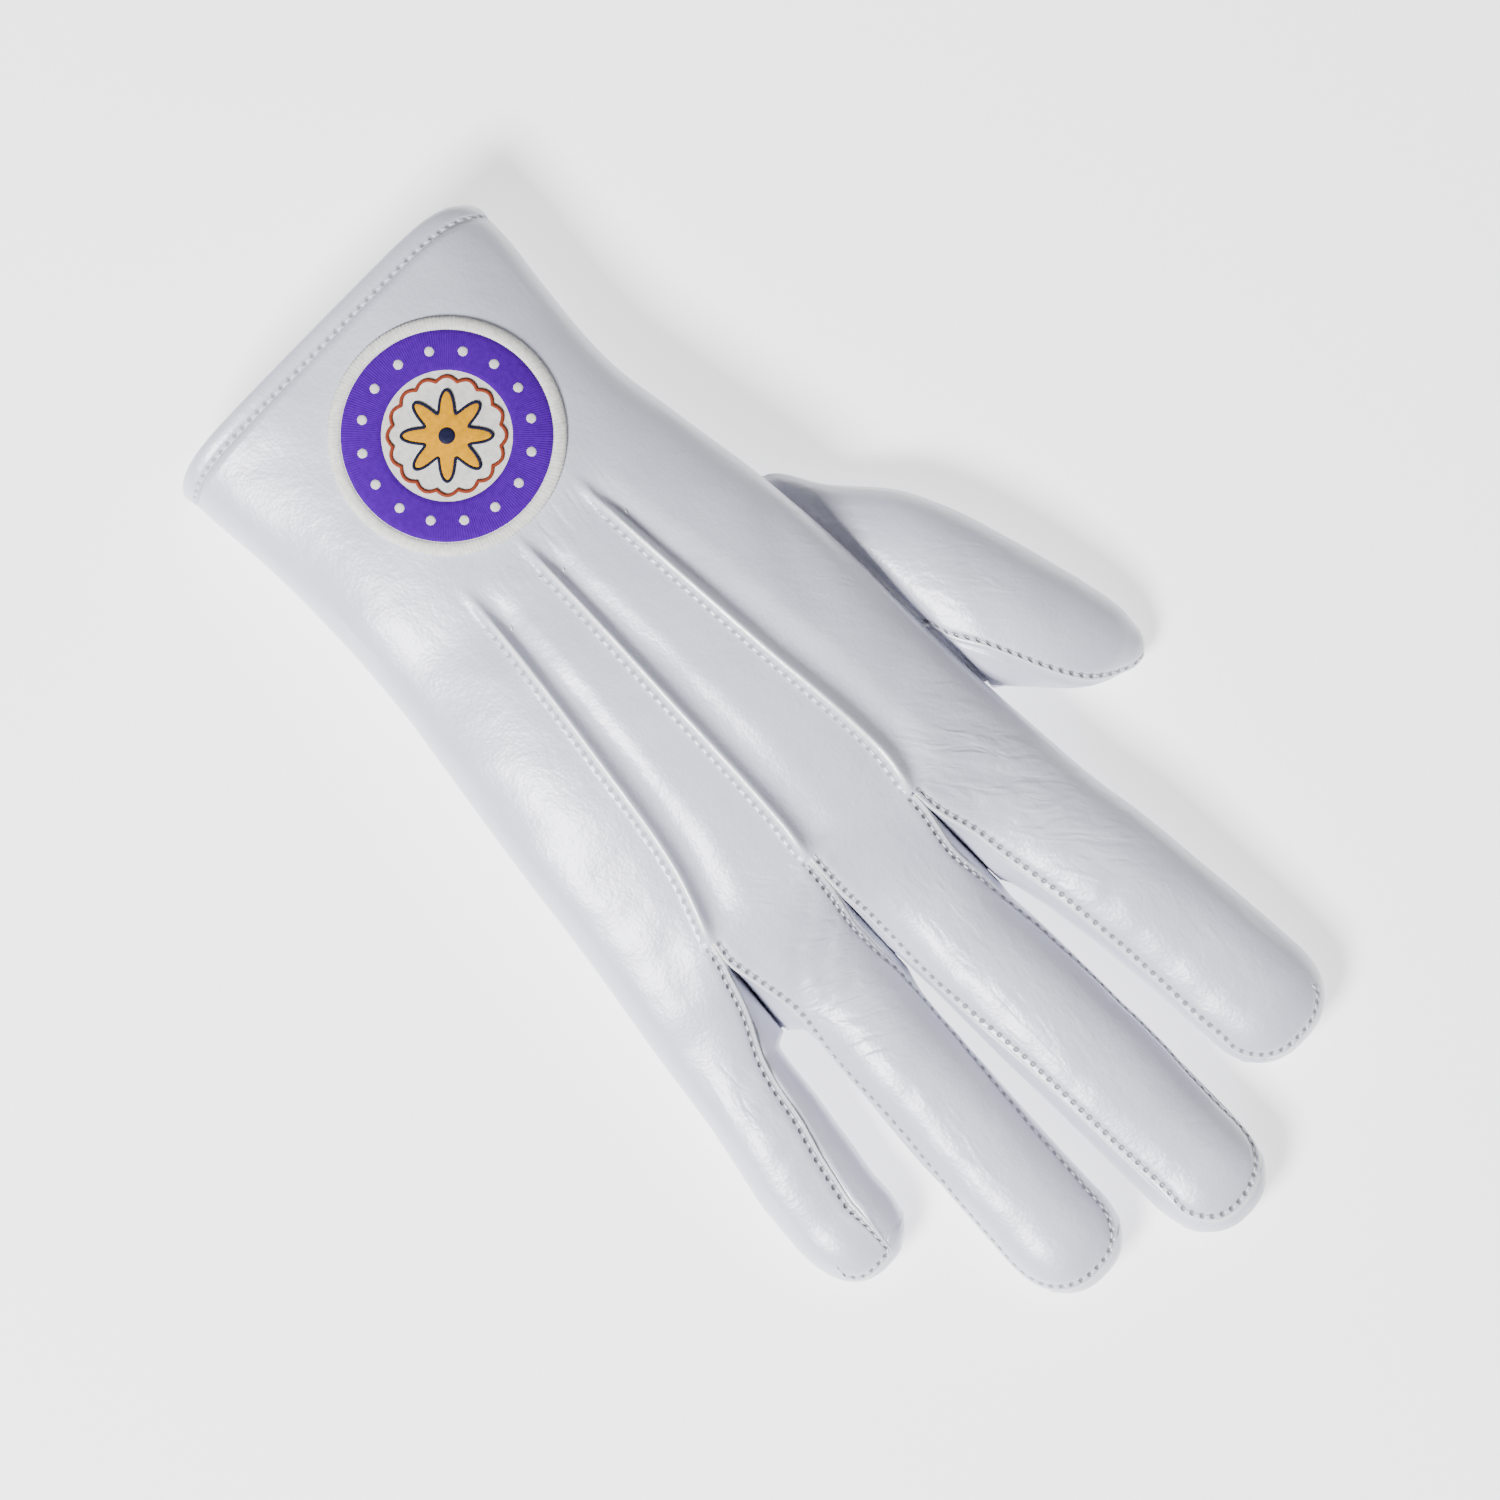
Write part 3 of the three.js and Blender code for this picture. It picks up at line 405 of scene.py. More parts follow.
def wall_point(f, side, row, w):
    """Point of a strip's side wall, w from the edge of its back to its lower edge. A wall between fingers
    starts at the fork and ends below on the line from fork to web."""
    boundary, sign = f + side, 2 * side - 1
    outer = boundary in (0, 4)
    fork = fork_of(boundary)
    y = row_y(f, boundary, row)
    top = strip_point(f, "top", row, side)
    bottom = strip_point(f, "under", row, side)
    down = np.clip((row - PALM_ROWS) / (WEB_ROW - PALM_ROWS), 0, 1)
    if not outer:
        palm = palm_at(fork["y"])
        start = points(fork["x"], fork["y"], upper(palm, (fork["x"] - palm.centre) / palm.half))
        end = strip_point(f, "under", np.float64(WEB_ROW), side)
        crotch = lerp(start, end, down[..., None])
        crotch[..., 2] = lerp(start[..., 2], end[..., 2], 1 - (1 - down) ** 2)
        bottom = np.where((row < WEB_ROW)[..., None], crotch, bottom)

    s = finger_at(f, y)
    edges = [np.abs(edge_share(f, face, side, y, s.half)) for face in ("top", "under")]
    on_finger = flank(s, sign, *edges, y, w)
    if outer:
        palm = palm_at(y)
        on_palm = flank(palm, sign, 1 - SIDE_FOLD / palm.half, 1 - PALM_ROUNDING / palm.half, y, w)
        mix = lerp(*(finger_mix(face, boundary, y, row) for face in ("top", "under")), w)
        return lerp(on_palm, on_finger, mix[..., None])
    chord = lerp(flank(s, sign, *edges, y, 0 * w), flank(s, sign, *edges, y, 0 * w + 1), w[..., None])
    p = lerp(top, bottom, w[..., None]) + (on_finger - chord) * down[..., None]
    limit = boundary_x(boundary, y, 0) - sign * SLOT_GAP
    p[..., 0] = sign * np.minimum(sign * p[..., 0], sign * limit)
    return p


SET_BACKS = (5, 3)  # how far the cuff edge is set back at the thumb's side and at the little finger's


def set_back(p):
    """The cuff edge curves back towards its two sides, as the ninth power of the share of the half width."""
    s = palm_at(p[..., 1])
    share = np.clip((p[..., 0] - s.centre) / s.half, -1, 1)
    fade = 1 - smooth(p[..., 1] / (0.3 * PALM_LENGTH))
    moved = p.copy()
    moved[..., 1] += np.where(share < 0, *SET_BACKS) * np.abs(share) ** 9 * fade
    return moved


ROWS = np.concatenate([
    np.linspace(0, PALM_ROWS, 85),
    np.linspace(PALM_ROWS, WEB_ROW, 19)[1:],
    np.linspace(WEB_ROW, TIP_ROW, 55)[1:],
])
EDGE_COLUMNS = np.array([0, 0.3, 0.6, 0.9, 1.25, 1.6, 2.1, 2.8, 3.8])  # millimetres from a seam's edge
STITCH_COLUMN, POINT_STITCH_COLUMN = 4, 5
STITCH_FROM_EDGE = EDGE_COLUMNS[STITCH_COLUMN]


def lengths(p, axis=0):
    """Distance along each line of points from its first point."""
    steps = np.linalg.norm(np.diff(p, axis=axis), axis=-1)
    return np.concatenate([0 * steps.take([0], axis), np.cumsum(steps, axis)], axis)


def spaced(sample, rows, edge_columns, inner):
    """Shares from edge to middle line of columns that lie at the edge columns' distances and then evenly."""
    fine = np.linspace(0, 1, 49)
    reach = lengths(sample(rows[:, None], fine[None, :]), 1)
    total = np.maximum(reach[:, -1:], 1e-6)
    near = edge_columns[None, :] * np.minimum(1, total / (2 * edge_columns[-1]))
    even = lerp(near[:, -1:], total, np.linspace(0, 1, inner + 1)[None, 1:])
    wanted = np.concatenate([near, even], 1)
    return np.array([np.interp(w, r, fine) for w, r in zip(wanted, reach)]), wanted


def panel(f, face, edge_columns, inner):
    """A finger's back or underside with its strip of the palm, as half rows from edge to middle line: up
    the thumb side, round the tip and down the little finger side. Returns points, distance from the edge and
    distance along it, and row, fan angle and side of each half row."""
    parts = []
    for side, sample, rows in (
        (0, lambda row, b: strip_point(f, face, row, b / 2), ROWS),
        (None, lambda phi, b: fan_point(f, face, phi, b), FAN[1:-1]),
        (1, lambda row, b: strip_point(f, face, row, 1 - b / 2), ROWS[::-1]),
    ):
        b, reach = spaced(sample, rows, edge_columns, inner)
        fan = side is None
        parts.append((
            sample(rows[:, None], b),
            reach,
            np.full(len(rows), TIP_ROW) if fan else rows,
            rows if fan else np.full(len(rows), -np.pi / 2 if side == 0 else np.pi / 2),
            (rows > 0).astype(int) if fan else np.full(len(rows), side),
        ))
    p, reach, row, phi, side = (np.concatenate(part) for part in zip(*parts))
    p = set_back(p)
    return p, reach, np.broadcast_to(lengths(p[:, 0])[:, None], reach.shape), row, phi, side


# Fine wrinkles where the leather bends, in three directions: at the root of the index finger, at the root of
# the ring finger and lengthwise on the fingers. Each row is a wrinkled spot: its place, half length, half
# width, turn from across the hand in degrees, direction and strength.
WRINKLE_TURNS = (-51, -26, 82)
WRINKLES_FROM = 6  # height above which the leather is wrinkled
WRINKLES = table(
    "x y long wide turn direction strength",
    (-30, 160, 17, 12, -40, 0, 1), (-36, 182, 16, 14, -60, 0, 0.6), (-30, 146, 12, 9, 0, 0, 0.5),
    (18, 160, 13, 11, 40, 1, 1.1), (24, 176, 12, 14, 60, 1, 0.7), (13, 146, 8, 10, 60, 0, 0.6),
    (-38, 210, 16, 10, 90, 2, 0.3), (-4, 200, 30, 9, 90, 2, 0.35), (26, 206, 22, 8, 90, 2, 0.3),
    (-6, 168, 14, 9, 90, 2, 0.4), (48, 172, 14, 8, 100, 2, 0.35), (55, 190, 12, 7, 100, 1, 0.2),
    (-3, 63, 20, 6, 0, 2, 0.5), (-44, 104, 14, 8, 90, 0, 0.5), (-60, 128, 18, 14, 60, 0, 0.4),
    (-34, 118, 30, 9, 90, 0, 0.2), (-6, 240, 12, 9, 0, 1, 0.3),
)


def wrinkle_weights(p):
    """Strength of the wrinkles of each direction at points of the leather."""
    weights = np.zeros((len(p), 3))
    for x, y, long, wide, turn, direction, strength in zip(*WRINKLES.values()):
        c, s = math.cos(math.radians(turn)), math.sin(math.radians(turn))
        dx, dy = p[:, 0] - x, p[:, 1] - y
        far = np.hypot((dx * c + dy * s) / long, (dy * c - dx * s) / wide)
        weights[:, int(direction)] += strength * smooth(1.3 - far) * (p[:, 2] > WRINKLES_FROM)
    return np.minimum(weights, 1.2)


WELDS_PER_MM = 500  # points that round to the same place at this fineness are one


class Sheet:
    """Grids of points that share their meeting edges, each with a lift off the surface, the distance from
    its seam, the distance along it and the seam's strength."""

    def __init__(self):
        self.points, self.lifts, self.seams, self.quads, self.count = [], [], [], [], 0

    def grid(self, p, lift, seam, flip=False):
        """Adds a grid and returns the indices of its points."""
        rows, columns = p.shape[:2]
        index = np.arange(rows * columns).reshape(rows, columns) + self.count
        quads = np.stack([index[:-1, :-1], index[:-1, 1:], index[1:, 1:], index[1:, :-1]], -1).reshape(-1, 4)
        self.quads.append(quads[:, ::-1] if flip else quads)
        self.points.append(p.reshape(-1, 3))
        self.lifts.append(np.broadcast_to(lift, (rows, columns)).ravel())
        self.seams.append(np.stack(np.broadcast_arrays(*seam, lift), -1)[..., :3].reshape(-1, 3))
        self.count += rows * columns
        return index

    def weld(self, drop=None):
        """Merges the points that coincide and lifts them along the smooth normals of the surface."""
        p, lift, quads = np.concatenate(self.points), np.concatenate(self.lifts), np.concatenate(self.quads)
        place = np.round(p * WELDS_PER_MM).astype(np.int64)
        _, first, back = np.unique(place, axis=0, return_index=True, return_inverse=True)
        back = back.ravel()
        base = p[first]
        raised = np.zeros(len(base))
        np.maximum.at(raised, back, np.abs(lift))
        signs = np.zeros(len(base))
        np.add.at(signs, back, lift)
        raised *= np.sign(signs)
        corners = back[quads]
        flat = base[corners]
        across = np.cross(flat[:, 2] - flat[:, 0], flat[:, 3] - flat[:, 1])
        normal = np.zeros_like(base)
        for k in range(4):
            np.add.at(normal, corners[:, k], across)
        normal /= np.maximum(np.linalg.norm(normal, axis=1, keepdims=True), 1e-12)
        self.back, self.normal = back, normal
        self.final = base + normal * raised[:, None]
        self.final[:, 2] = np.maximum(self.final[:, 2], TABLE_TOP)
        self.corners, self.grid_corners = corners, quads
        self.kept = np.ones(len(corners), bool) if drop is None else ~drop(flat.mean(1))

    def mesh(self, name):
        """The welded sheet as a mesh in metres, with its seam distances as a UV map and an attribute."""
        corners = self.corners[self.kept]
        # A corner that is welded to the one before it is left out, which makes the face a triangle.
        distinct = corners != np.roll(corners, 1, axis=1)
        distinct[distinct.sum(1) < 3] = False
        loops = self.grid_corners[self.kept][distinct]
        used, renumbered = np.unique(corners[distinct], return_inverse=True)
        sizes = distinct.sum(1)
        ends = np.cumsum(sizes[sizes > 0])
        faces = [part.tolist() for part in np.split(renumbered, ends[:-1])]
        mesh = bpy.data.meshes.new(name)
        place = (self.final[used] - (0, ORIGIN_Y, 0)) * MM
        mesh.from_pydata(place.tolist(), [], faces)
        seams = np.concatenate(self.seams)[loops]
        uv = mesh.uv_layers.new(name="seam")
        uv.data.foreach_set("uv", (seams[:, :2] * MM).ravel())
        folds = mesh.attributes.new("folds", "FLOAT_VECTOR", "POINT")
        folds.data.foreach_set("vector", wrinkle_weights(self.final[used]).ravel())
        strength = mesh.attributes.new("seam_strength", "FLOAT", "CORNER")
        strength.data.foreach_set("value", seams[:, 2])
        mesh.polygons.foreach_set("use_smooth", [True] * len(mesh.polygons))
        mesh.update()
        return mesh


def lip(s):
    """Height of a seam at a distance s from it: an eased edge, less the bell-shaped groove that the stitches
    pull down, and a slight swell beyond the groove."""
    edge = 0.26 * (1 - smooth(s / 1.2))
    groove = 0.16 * np.exp(-(((s - 1.3) / 0.45) ** 2))
    return edge - groove + 0.1 * np.exp(-(((s - 2.6) / 0.9) ** 2))


# Section of a raised point: heights at distances from its crest, towards the thumb and the little finger.
# Towards the thumb it falls into a broad hollow. The other side is steep, with a stitched foot.
POINT_RISE = (0.385, 0.1)  # where a point starts to rise and over what length, as shares of PALM_LENGTH
POINT = table(
    "at thumb little",
    (0, 1.5, 1.5), (0.4, 1.38, 1.37), (0.8, 1.02, 1.1), (1.3, 0.48, 0.4), (1.8, 0, -0.08), (2.6, -0.5, -0.14),
    (3.6, -0.8, -0.1), (5, -0.8, -0.05), (7, -0.52, 0), (9.5, -0.2, 0), (12, 0, 0),
)


def point_ridge(s, side, along):
    """Height of a raised point at a distance from its crest, narrow at first on the thumb's side and wider
    along its length. side is 1 on the thumb's side of the crest."""
    width = lerp(0.55, 1, smooth(along / 0.6))
    height = np.where(side == 1, follow(POINT, "thumb", s / width), follow(POINT, "little", s))
    return height * (1 - smooth(2 * s / s[:, -1:] - 1))


def seam_strength(f, row, phi, side, face):
    """1 along the seams beside the fourchettes and round the tips, 0 along the folds and on the palm."""
    outer = ((f == 0) & (side == 0)) | ((f == 3) & (side == 1))
    start = smooth((row - PALM_ROWS) / 0.25) if face == "top" else smooth((row - WEB_ROW) / 0.5)
    if face == "under":
        return np.where(outer, 0, start * smooth((np.abs(phi) - 1.4) / 0.17))
    return np.where(outer, smooth((math.radians(62) - np.abs(phi)) / 0.35), start)


def ridge_strength(f, row, side):
    """How far a raised point stands up at a row, and the row's share of the point's length."""
    boundary = f + side
    inner = (boundary > 0) & (boundary < 4)
    fork_y = np.array([fork_of(b)["y"] for b in range(5)])[boundary]
    y = lerp(HEM_WIDTH, fork_y, np.clip(row / PALM_ROWS, 0, 1))
    along = (y - POINTS_FROM * PALM_LENGTH) / (fork_y - POINTS_FROM * PALM_LENGTH)
    rise = smooth((y / PALM_LENGTH - POINT_RISE[0]) / POINT_RISE[1])
    return inner * rise * (1 - smooth((along - 0.95) / 0.06)) * (row <= PALM_ROWS), along


def creases(p, rows):
    """Soft folds pressed into the leather: each is a trough along a slightly bowed line."""
    depth = np.zeros(p.shape[:-1])
    for x, y, turn, length, width, deep, bow in zip(*rows.values()):
        c, s = math.cos(math.radians(turn)), math.sin(math.radians(turn))
        dx, dy = p[..., 0] - x, p[..., 1] - y
        run, off = dx * c + dy * s, dy * c - dx * s
        off = off - bow * (run / length) ** 2
        depth -= deep * np.exp(-((off / width) ** 2)) * np.exp(-((run / length) ** 4))
    return depth


# x, y, turn from across the hand in degrees, half length, half width, depth and bow
BACK_CREASES = table(
    "x y turn length width deep bow",
    (-31, 160, -38, 9, 1.5, 0.22, 1), (-28, 156, -40, 8, 1.3, 0.2, 1), (-34, 163, -36, 8, 1.4, 0.16, 1),
    (-26, 164, -30, 6, 1.2, 0.14, 1), (-33, 170, -20, 9, 2.2, 0.18, 2), (-36, 192, 12, 9, 2.4, 0.16, 2),
    (17, 160, 35, 9, 1.6, 0.26, 1), (20, 156, 30, 9, 1.4, 0.22, 1), (14, 164, 38, 7, 1.3, 0.16, 1),
    (24, 161, 26, 7, 1.3, 0.16, 1), (22, 170, 15, 9, 2.2, 0.15, 2),
    (-6, 176, 8, 9, 2.2, 0.14, 2), (-4, 196, -10, 10, 2.6, 0.14, 2), (-5, 214, 5, 9, 2.4, 0.12, 2),
    (24, 192, 8, 8, 2.4, 0.14, 2), (27, 212, -6, 8, 2.2, 0.12, 2), (-37, 212, -5, 9, 2.4, 0.12, 2),
    (48, 168, 30, 7, 2, 0.18, 1), (53, 184, 14, 7, 2, 0.14, 1),
    (-30, 66, 12, 12, 4.5, 0.3, 3), (32, 60, -12, 14, 5, 0.3, 3), (0, 62, 4, 16, 5, 0.22, 2),
    (-34, 100, 70, 16, 4, 0.3, 2), (40, 108, -76, 20, 5, 0.3, 2), (-30, 134, 40, 10, 3, 0.22, 2),
    (40, 140, 60, 10, 3, 0.25, 2), (36, 30, 80, 14, 6, 0.25, 2), (-34, 24, 96, 14, 6, 0.25, 2),
)


def softness(p, seed):
    """Slow unevenness of lined leather: a sum of long waves in seeded directions."""
    rng = np.random.default_rng(seed)
    total = np.zeros(p.shape[:-1])
    for length, height in ((46, 0.26), (31, 0.18), (21, 0.12), (14, 0.07), (9, 0.04)):
        for _ in range(3):
            direction = rng.normal(size=3)
            direction *= 2 * np.pi / length / np.linalg.norm(direction)
            total += height / 2 * np.sin(p @ direction + rng.uniform(0, 2 * np.pi))
    return total


TRANK_SEED, THUMB_SEED, FOURCHETTE_SEED = 3, 11, 5
UNDERSIDE_SHARE = 0.3  # share of the back's unevenness that the underside and the sides have
NO_SEAM = 20  # a distance from the seam at which nothing of it shows


def base_lift(p):
    """Lift of the leather on the back of the hand, apart from its seams."""
    return creases(p, BACK_CREASES) + softness(p, TRANK_SEED)


trank = Sheet()
stitch_lines = []  # grid indices along which thread runs, with the distance along it and its strength
for f in range(4):
    for face, columns, inner in (("top", EDGE_COLUMNS, 8), ("under", EDGE_COLUMNS[::2], 4)):
        p, reach, along, row, phi, side = panel(f, face, columns, inner)
        strength = seam_strength(f, row, phi, side, face)
        lift = strength[:, None] * lip(reach)
        if face == "top":
            ridge, share = ridge_strength(f, row, side)
            lift = lift + ridge[:, None] * point_ridge(reach, side[:, None], share[:, None]) + base_lift(p)
            at_foot = (side == 0) & (row <= PALM_ROWS)
            strength = np.maximum(strength, 0.5 * ridge * at_foot * smooth(share / 0.06))
            column = np.where(at_foot, POINT_STITCH_COLUMN, STITCH_COLUMN)
            reach = reach - (EDGE_COLUMNS[column] - STITCH_FROM_EDGE)[:, None]
        else:
            lift = lift + UNDERSIDE_SHARE * softness(p, TRANK_SEED)
            column = STITCH_COLUMN // 2
        seam = (reach, along, np.broadcast_to(strength[:, None], reach.shape))
        index = trank.grid(p, lift, seam, flip=face == "under")
        stitch_lines.append((index[np.arange(len(row)), column], along[:, 0], strength))


def wall_grid(f, side, rows, steps, trim):
    """Side wall of a strip from its upper to its lower edge, kept short of both by trim, in rows up the
    finger and then round the tip until it runs out."""
    w = np.linspace(0, 1, steps)
    straight = wall_point(f, side, rows[:, None] + 0 * w, w + 0 * rows[:, None])
    angles = FAN[1 : len(FAN) // 2 + 1] * (1 if side == 0 else -1)
    top, low = fan_angles(f, angles)
    phi = angles[: np.argmax(top - low < 1e-6) + 1, None]
    p = set_back(np.concatenate([straight, wall_fan_point(f, phi, w[None, :])]))
    length = np.linalg.norm(np.diff(p, axis=1), axis=-1).sum(1)
    share = np.minimum(trim / np.maximum(length, 1e-6), 0.45)[:, None]
    fine = share + w[None, :] * (1 - 2 * share)
    k = np.clip((fine * (steps - 1)).astype(int), 0, steps - 2)
    t = (fine * (steps - 1) - k)[..., None]
    rows_index = np.arange(len(p))[:, None]
    return lerp(p[rows_index, k], p[rows_index, k + 1], t)


for f, side in OUTER_SIDES:
    p = wall_grid(f, side, ROWS, 15, 0)
    none = np.zeros(p.shape[:2])
    trank.grid(p, UNDERSIDE_SHARE * softness(p, TRANK_SEED), (none + NO_SEAM, none, none), flip=side == 0)


# Thumb
# One piece of the same leather is wrapped round the thumb, closed by a seam along its back and set into a
# hole in the trank's side. Its rings run from inside the hand through the hole to the tip.
THUMB_REACH, THUMB_LENGTH, THUMB_HEIGHT = 30.6, 82.2, 19
THUMB_START, THUMB_HOLE = 83, 61  # where the hole starts along the palm, and its length
THUMB_POWER = 0.85  # of the sine that rounds a ring
# A ring seen from above has a near and a far end: out is a share of THUMB_REACH past the palm's side, along a
# share of THUMB_LENGTH. height is a share of THUMB_HEIGHT, and seam the seam's place from near to far end.
THUMB = table(
    "at near_out near_along far_out far_along height seam",
    (-0.14, -0.29, 0.01, -0.3, 0.74, 0.74, 0.7),
    (0, 0.04, 0.02, 0, 0.765, 0.8, 0.73),
    (0.14, 0.24, 0.14, 0.02, 0.79, 0.92, 0.76),
    (0.28, 0.5, 0.265, 0.09, 0.815, 1, 0.8),
    (0.42, 0.665, 0.4, 0.18, 0.852, 1, 0.84),
    (0.56, 0.785, 0.54, 0.275, 0.893, 0.97, 0.88),
    (0.7, 0.885, 0.675, 0.37, 0.93, 0.9, 0.91),
    (0.82, 0.96, 0.785, 0.47, 0.958, 0.8, 0.94),
    (0.91, 1, 0.88, 0.59, 0.98, 0.66, 0.96),
    (0.97, 0.985, 0.95, 0.69, 0.993, 0.48, 0.97),
)
THUMB_END = 0.97  # from here to 1 a round cap closes the tip
CAP_SHIFT = np.array([-1.2, 2.3, 0])
HOLE_OVERLAP = 2.5  # how far the thumb reaches in past its base seam, and the trank past the hole's edge


def thumb_seam_angle(at):
    """Angle of the long seam round a ring, from its place between the ring's two ends."""
    return np.arccos(1 - 2 * follow(THUMB, "seam", np.minimum(at, THUMB_END)))


def thumb_point(at, angle):
    """Point of the thumb: angle 0 is its near side, 90 degrees its back and 180 degrees its far side."""
    on = np.minimum(at, THUMB_END)

    def end(side):
        """The ring's near or far end, on the table."""
        y = THUMB_START + follow(THUMB, side + "_along", on) * THUMB_LENGTH
        s = palm_at(np.minimum(y, THUMB_START + THUMB_HOLE))
        return points(s.centre - s.half - follow(THUMB, side + "_out", on) * THUMB_REACH, y, 0)

    near, far = end("near"), end("far")
    height = THUMB_HEIGHT * follow(THUMB, "height", on)
    cap = np.clip((at - THUMB_END) / (1 - THUMB_END), 0, 1)
    draw = np.sqrt(1 - cap) * (1 + 0.1 * cap)
    centre = lerp(near, far, 0.5)
    centre[..., 2] = height / 2 + 0.06 * (THUMB_HEIGHT - height)
    centre = centre + cap[..., None] * CAP_SHIFT
    rise = np.sign(np.sin(angle)) * np.abs(np.sin(angle)) ** THUMB_POWER * height / 2 * draw
    p = centre + (near - far) * (0.5 * np.cos(angle) * draw)[..., None]
    p[..., 2] += rise
    return p


def inside_palm(p):
    """Negative inside the palm's form and positive outside it, in about millimetres."""
    s = palm_at(p[..., 1])
    above = p[..., 2] > s.widest
    power = np.where(above, s.top, s.under)
    tall = np.where(above, s.height - s.widest, s.widest)
    wide, high = np.abs((p[..., 0] - s.centre) / s.half), np.abs((p[..., 2] - s.widest) / tall)
    return ((wide**power + high**power) ** (1 / power) - 1) * s.half


def half_ring(turn, at, b):
    """Point of a thumb's ring, b from 0 at the seam to 1 half way round the way that turn says."""
    return thumb_point(at + 0 * b, thumb_seam_angle(at) + turn * b * np.pi)


cap_rows = THUMB_END + (1 - THUMB_END) * np.sin(np.linspace(0, np.pi / 2, 11))[1:]
thumb_rows = np.concatenate([np.linspace(THUMB["at"][0], THUMB_END, 110), cap_rows])
thumb = Sheet()
thumb_base = []
for turn in (-1, 1):
    b, reach = spaced(lambda at, b: half_ring(turn, at, b), thumb_rows, EDGE_COLUMNS, 18)
    p = half_ring(turn, thumb_rows[:, None], b)
    # The base seam lies where each column comes out of the palm's side.
    out = inside_palm(p)
    climb = lengths(p)
    crossing = np.argmax(out > 0, axis=0)
    columns = np.arange(p.shape[1])
    t = -out[crossing - 1, columns] / (out[crossing, columns] - out[crossing - 1, columns])
    base = lerp(climb[crossing - 1, columns], climb[crossing, columns], t)
    thumb_base.append(lerp(p[crossing - 1, columns], p[crossing, columns], t[:, None]))
    from_base = climb - base
    along = lengths(p[:, 0])[:, None]
    lift = lip(reach) + 0.7 * lip(np.abs(from_base)) + 0.8 * softness(p, THUMB_SEED)
    index = thumb.grid(p, lift, (reach, along + 0 * reach, (turn == -1) + 0 * reach), flip=turn == -1)
    # The thread shows on one side of the seam.
    if turn == -1:
        thumb_line = (index[:, STITCH_COLUMN], along[:, 0], smooth(from_base[:, 0] / 2))
thumb.weld(drop=lambda centres: inside_palm(centres) < -HOLE_OVERLAP)
hole = np.concatenate([thumb_base[0], thumb_base[1][::-1]])
hole_centre = (hole[:, 1:].min(0) + hole[:, 1:].max(0)) / 2
hole_angle = np.arctan2(hole[:, 2] - hole_centre[1], hole[:, 1] - hole_centre[0])
hole_radius = np.hypot(hole[:, 2] - hole_centre[1], hole[:, 1] - hole_centre[0])
order = np.argsort(hole_angle)


def in_thumb_hole(p):
    """Whether points of the trank lie inside the thumb, past the overlap."""
    dy, dz = p[:, 1] - hole_centre[0], p[:, 2] - hole_centre[1]
    edge = np.interp(np.arctan2(dz, dy), hole_angle[order], hole_radius[order], period=2 * np.pi)
    return (np.hypot(dy, dz) < edge - HOLE_OVERLAP) & (p[:, 0] < 0)


trank.weld(drop=in_thumb_hole)


class Shader:
    """Short ways to add and join nodes of one material."""

    def __init__(self, name):
        self.material = bpy.data.materials.new(name)
        self.material.use_nodes = True
        self.nodes, self.links = self.material.node_tree.nodes, self.material.node_tree.links
        self.out = self.nodes["Principled BSDF"]

    def put(self, target, value):
        """Sets a socket to a value, or joins it to another socket."""
        if isinstance(value, bpy.types.NodeSocket):
            self.links.new(value, target)
        else:
            target.default_value = value

    def set(self, **values):
        """Sets the material's own values by their names."""
        for key, value in values.items():
            self.put(self.out.inputs[key.replace("_", " ")], value)

    def add(self, kind, output, settings=None, **inputs):
        """Adds a node with its settings and inputs and returns one of its outputs."""
        node = self.nodes.new("ShaderNode" + kind)
        for key, value in (settings or {}).items():
            setattr(node, key, value)
        for key, value in inputs.items():
            self.put(node.inputs[key.replace("_", " ")], value)
        return node.outputs[output]

    def math(self, operation, *values, clamp=False):
        """Result of one sum on values and sockets."""
        node = self.nodes.new("ShaderNodeMath")
        node.operation, node.use_clamp = operation, clamp
        for socket, value in zip(node.inputs, values):
            self.put(socket, value)
        return node.outputs[0]

    def noise(self, vector, scale, detail=2.0, distortion=0.0):
        """Noise from 0 to 1 at a place, its scale in waves to the metre."""
        return self.add("TexNoise", "Fac", Vector=vector, Scale=scale, Detail=detail, Distortion=distortion)

    def blend(self, share, first, second):
        """Colour from first to second by a share."""
        ramp = self.nodes.new("ShaderNodeValToRGB")
        self.put(ramp.inputs["Fac"], share)
        ramp.color_ramp.elements[0].color, ramp.color_ramp.elements[1].color = (*first, 1), (*second, 1)
        return ramp.outputs["Color"]

    def mix(self, share, first, second):
        """Colour from first to second by a share, each a colour or a socket."""
        node = self.nodes.new("ShaderNodeMix")
        node.data_type = "RGBA"
        for key, value in (("Factor", share), ("A", first), ("B", second)):
            self.put(node.inputs[key], value)
        return node.outputs["Result"]

    def parts(self, vector):
        """The three numbers of a vector."""
        node = self.nodes.new("ShaderNodeSeparateXYZ")
        self.put(node.inputs[0], vector)
        return node.outputs

    def bump(self, height, distance):
        """Surface direction over a height, with the distance that a height of 1 stands for."""
        return self.add("Bump", "Normal", Height=height, Distance=distance)


STITCH_PITCH = 2.25
PRICK_RADIUS, PRICK_DEPTH = 0.72, 0.35
# Painted shade: the dark colour the leather is turned to in each stitch prick
PRICK_SHADE_COLOUR = (0.19, 0.186, 0.205, 1)
CREST_HIGHLIGHT_WIDTH, CREST_HIGHLIGHT_FADE = 0.6, 0.4  # where the painted highlight on a crest or seam edge ends and over what width it fades
# Painted highlight: the lighter colour laid along the crests of the raised points and the seam edges
CREST_HIGHLIGHT_COLOUR = (0.93, 0.93, 0.95, 1)
WRINKLE_SIZE = (8, 2.6, 8)  # spacing of the wrinkles along, across and through the leather
WRINKLE_HEIGHT, PORE_HEIGHT, GRAIN_HEIGHT, WAVE_HEIGHT = 0.55, 0.03, 0.11, 0.22


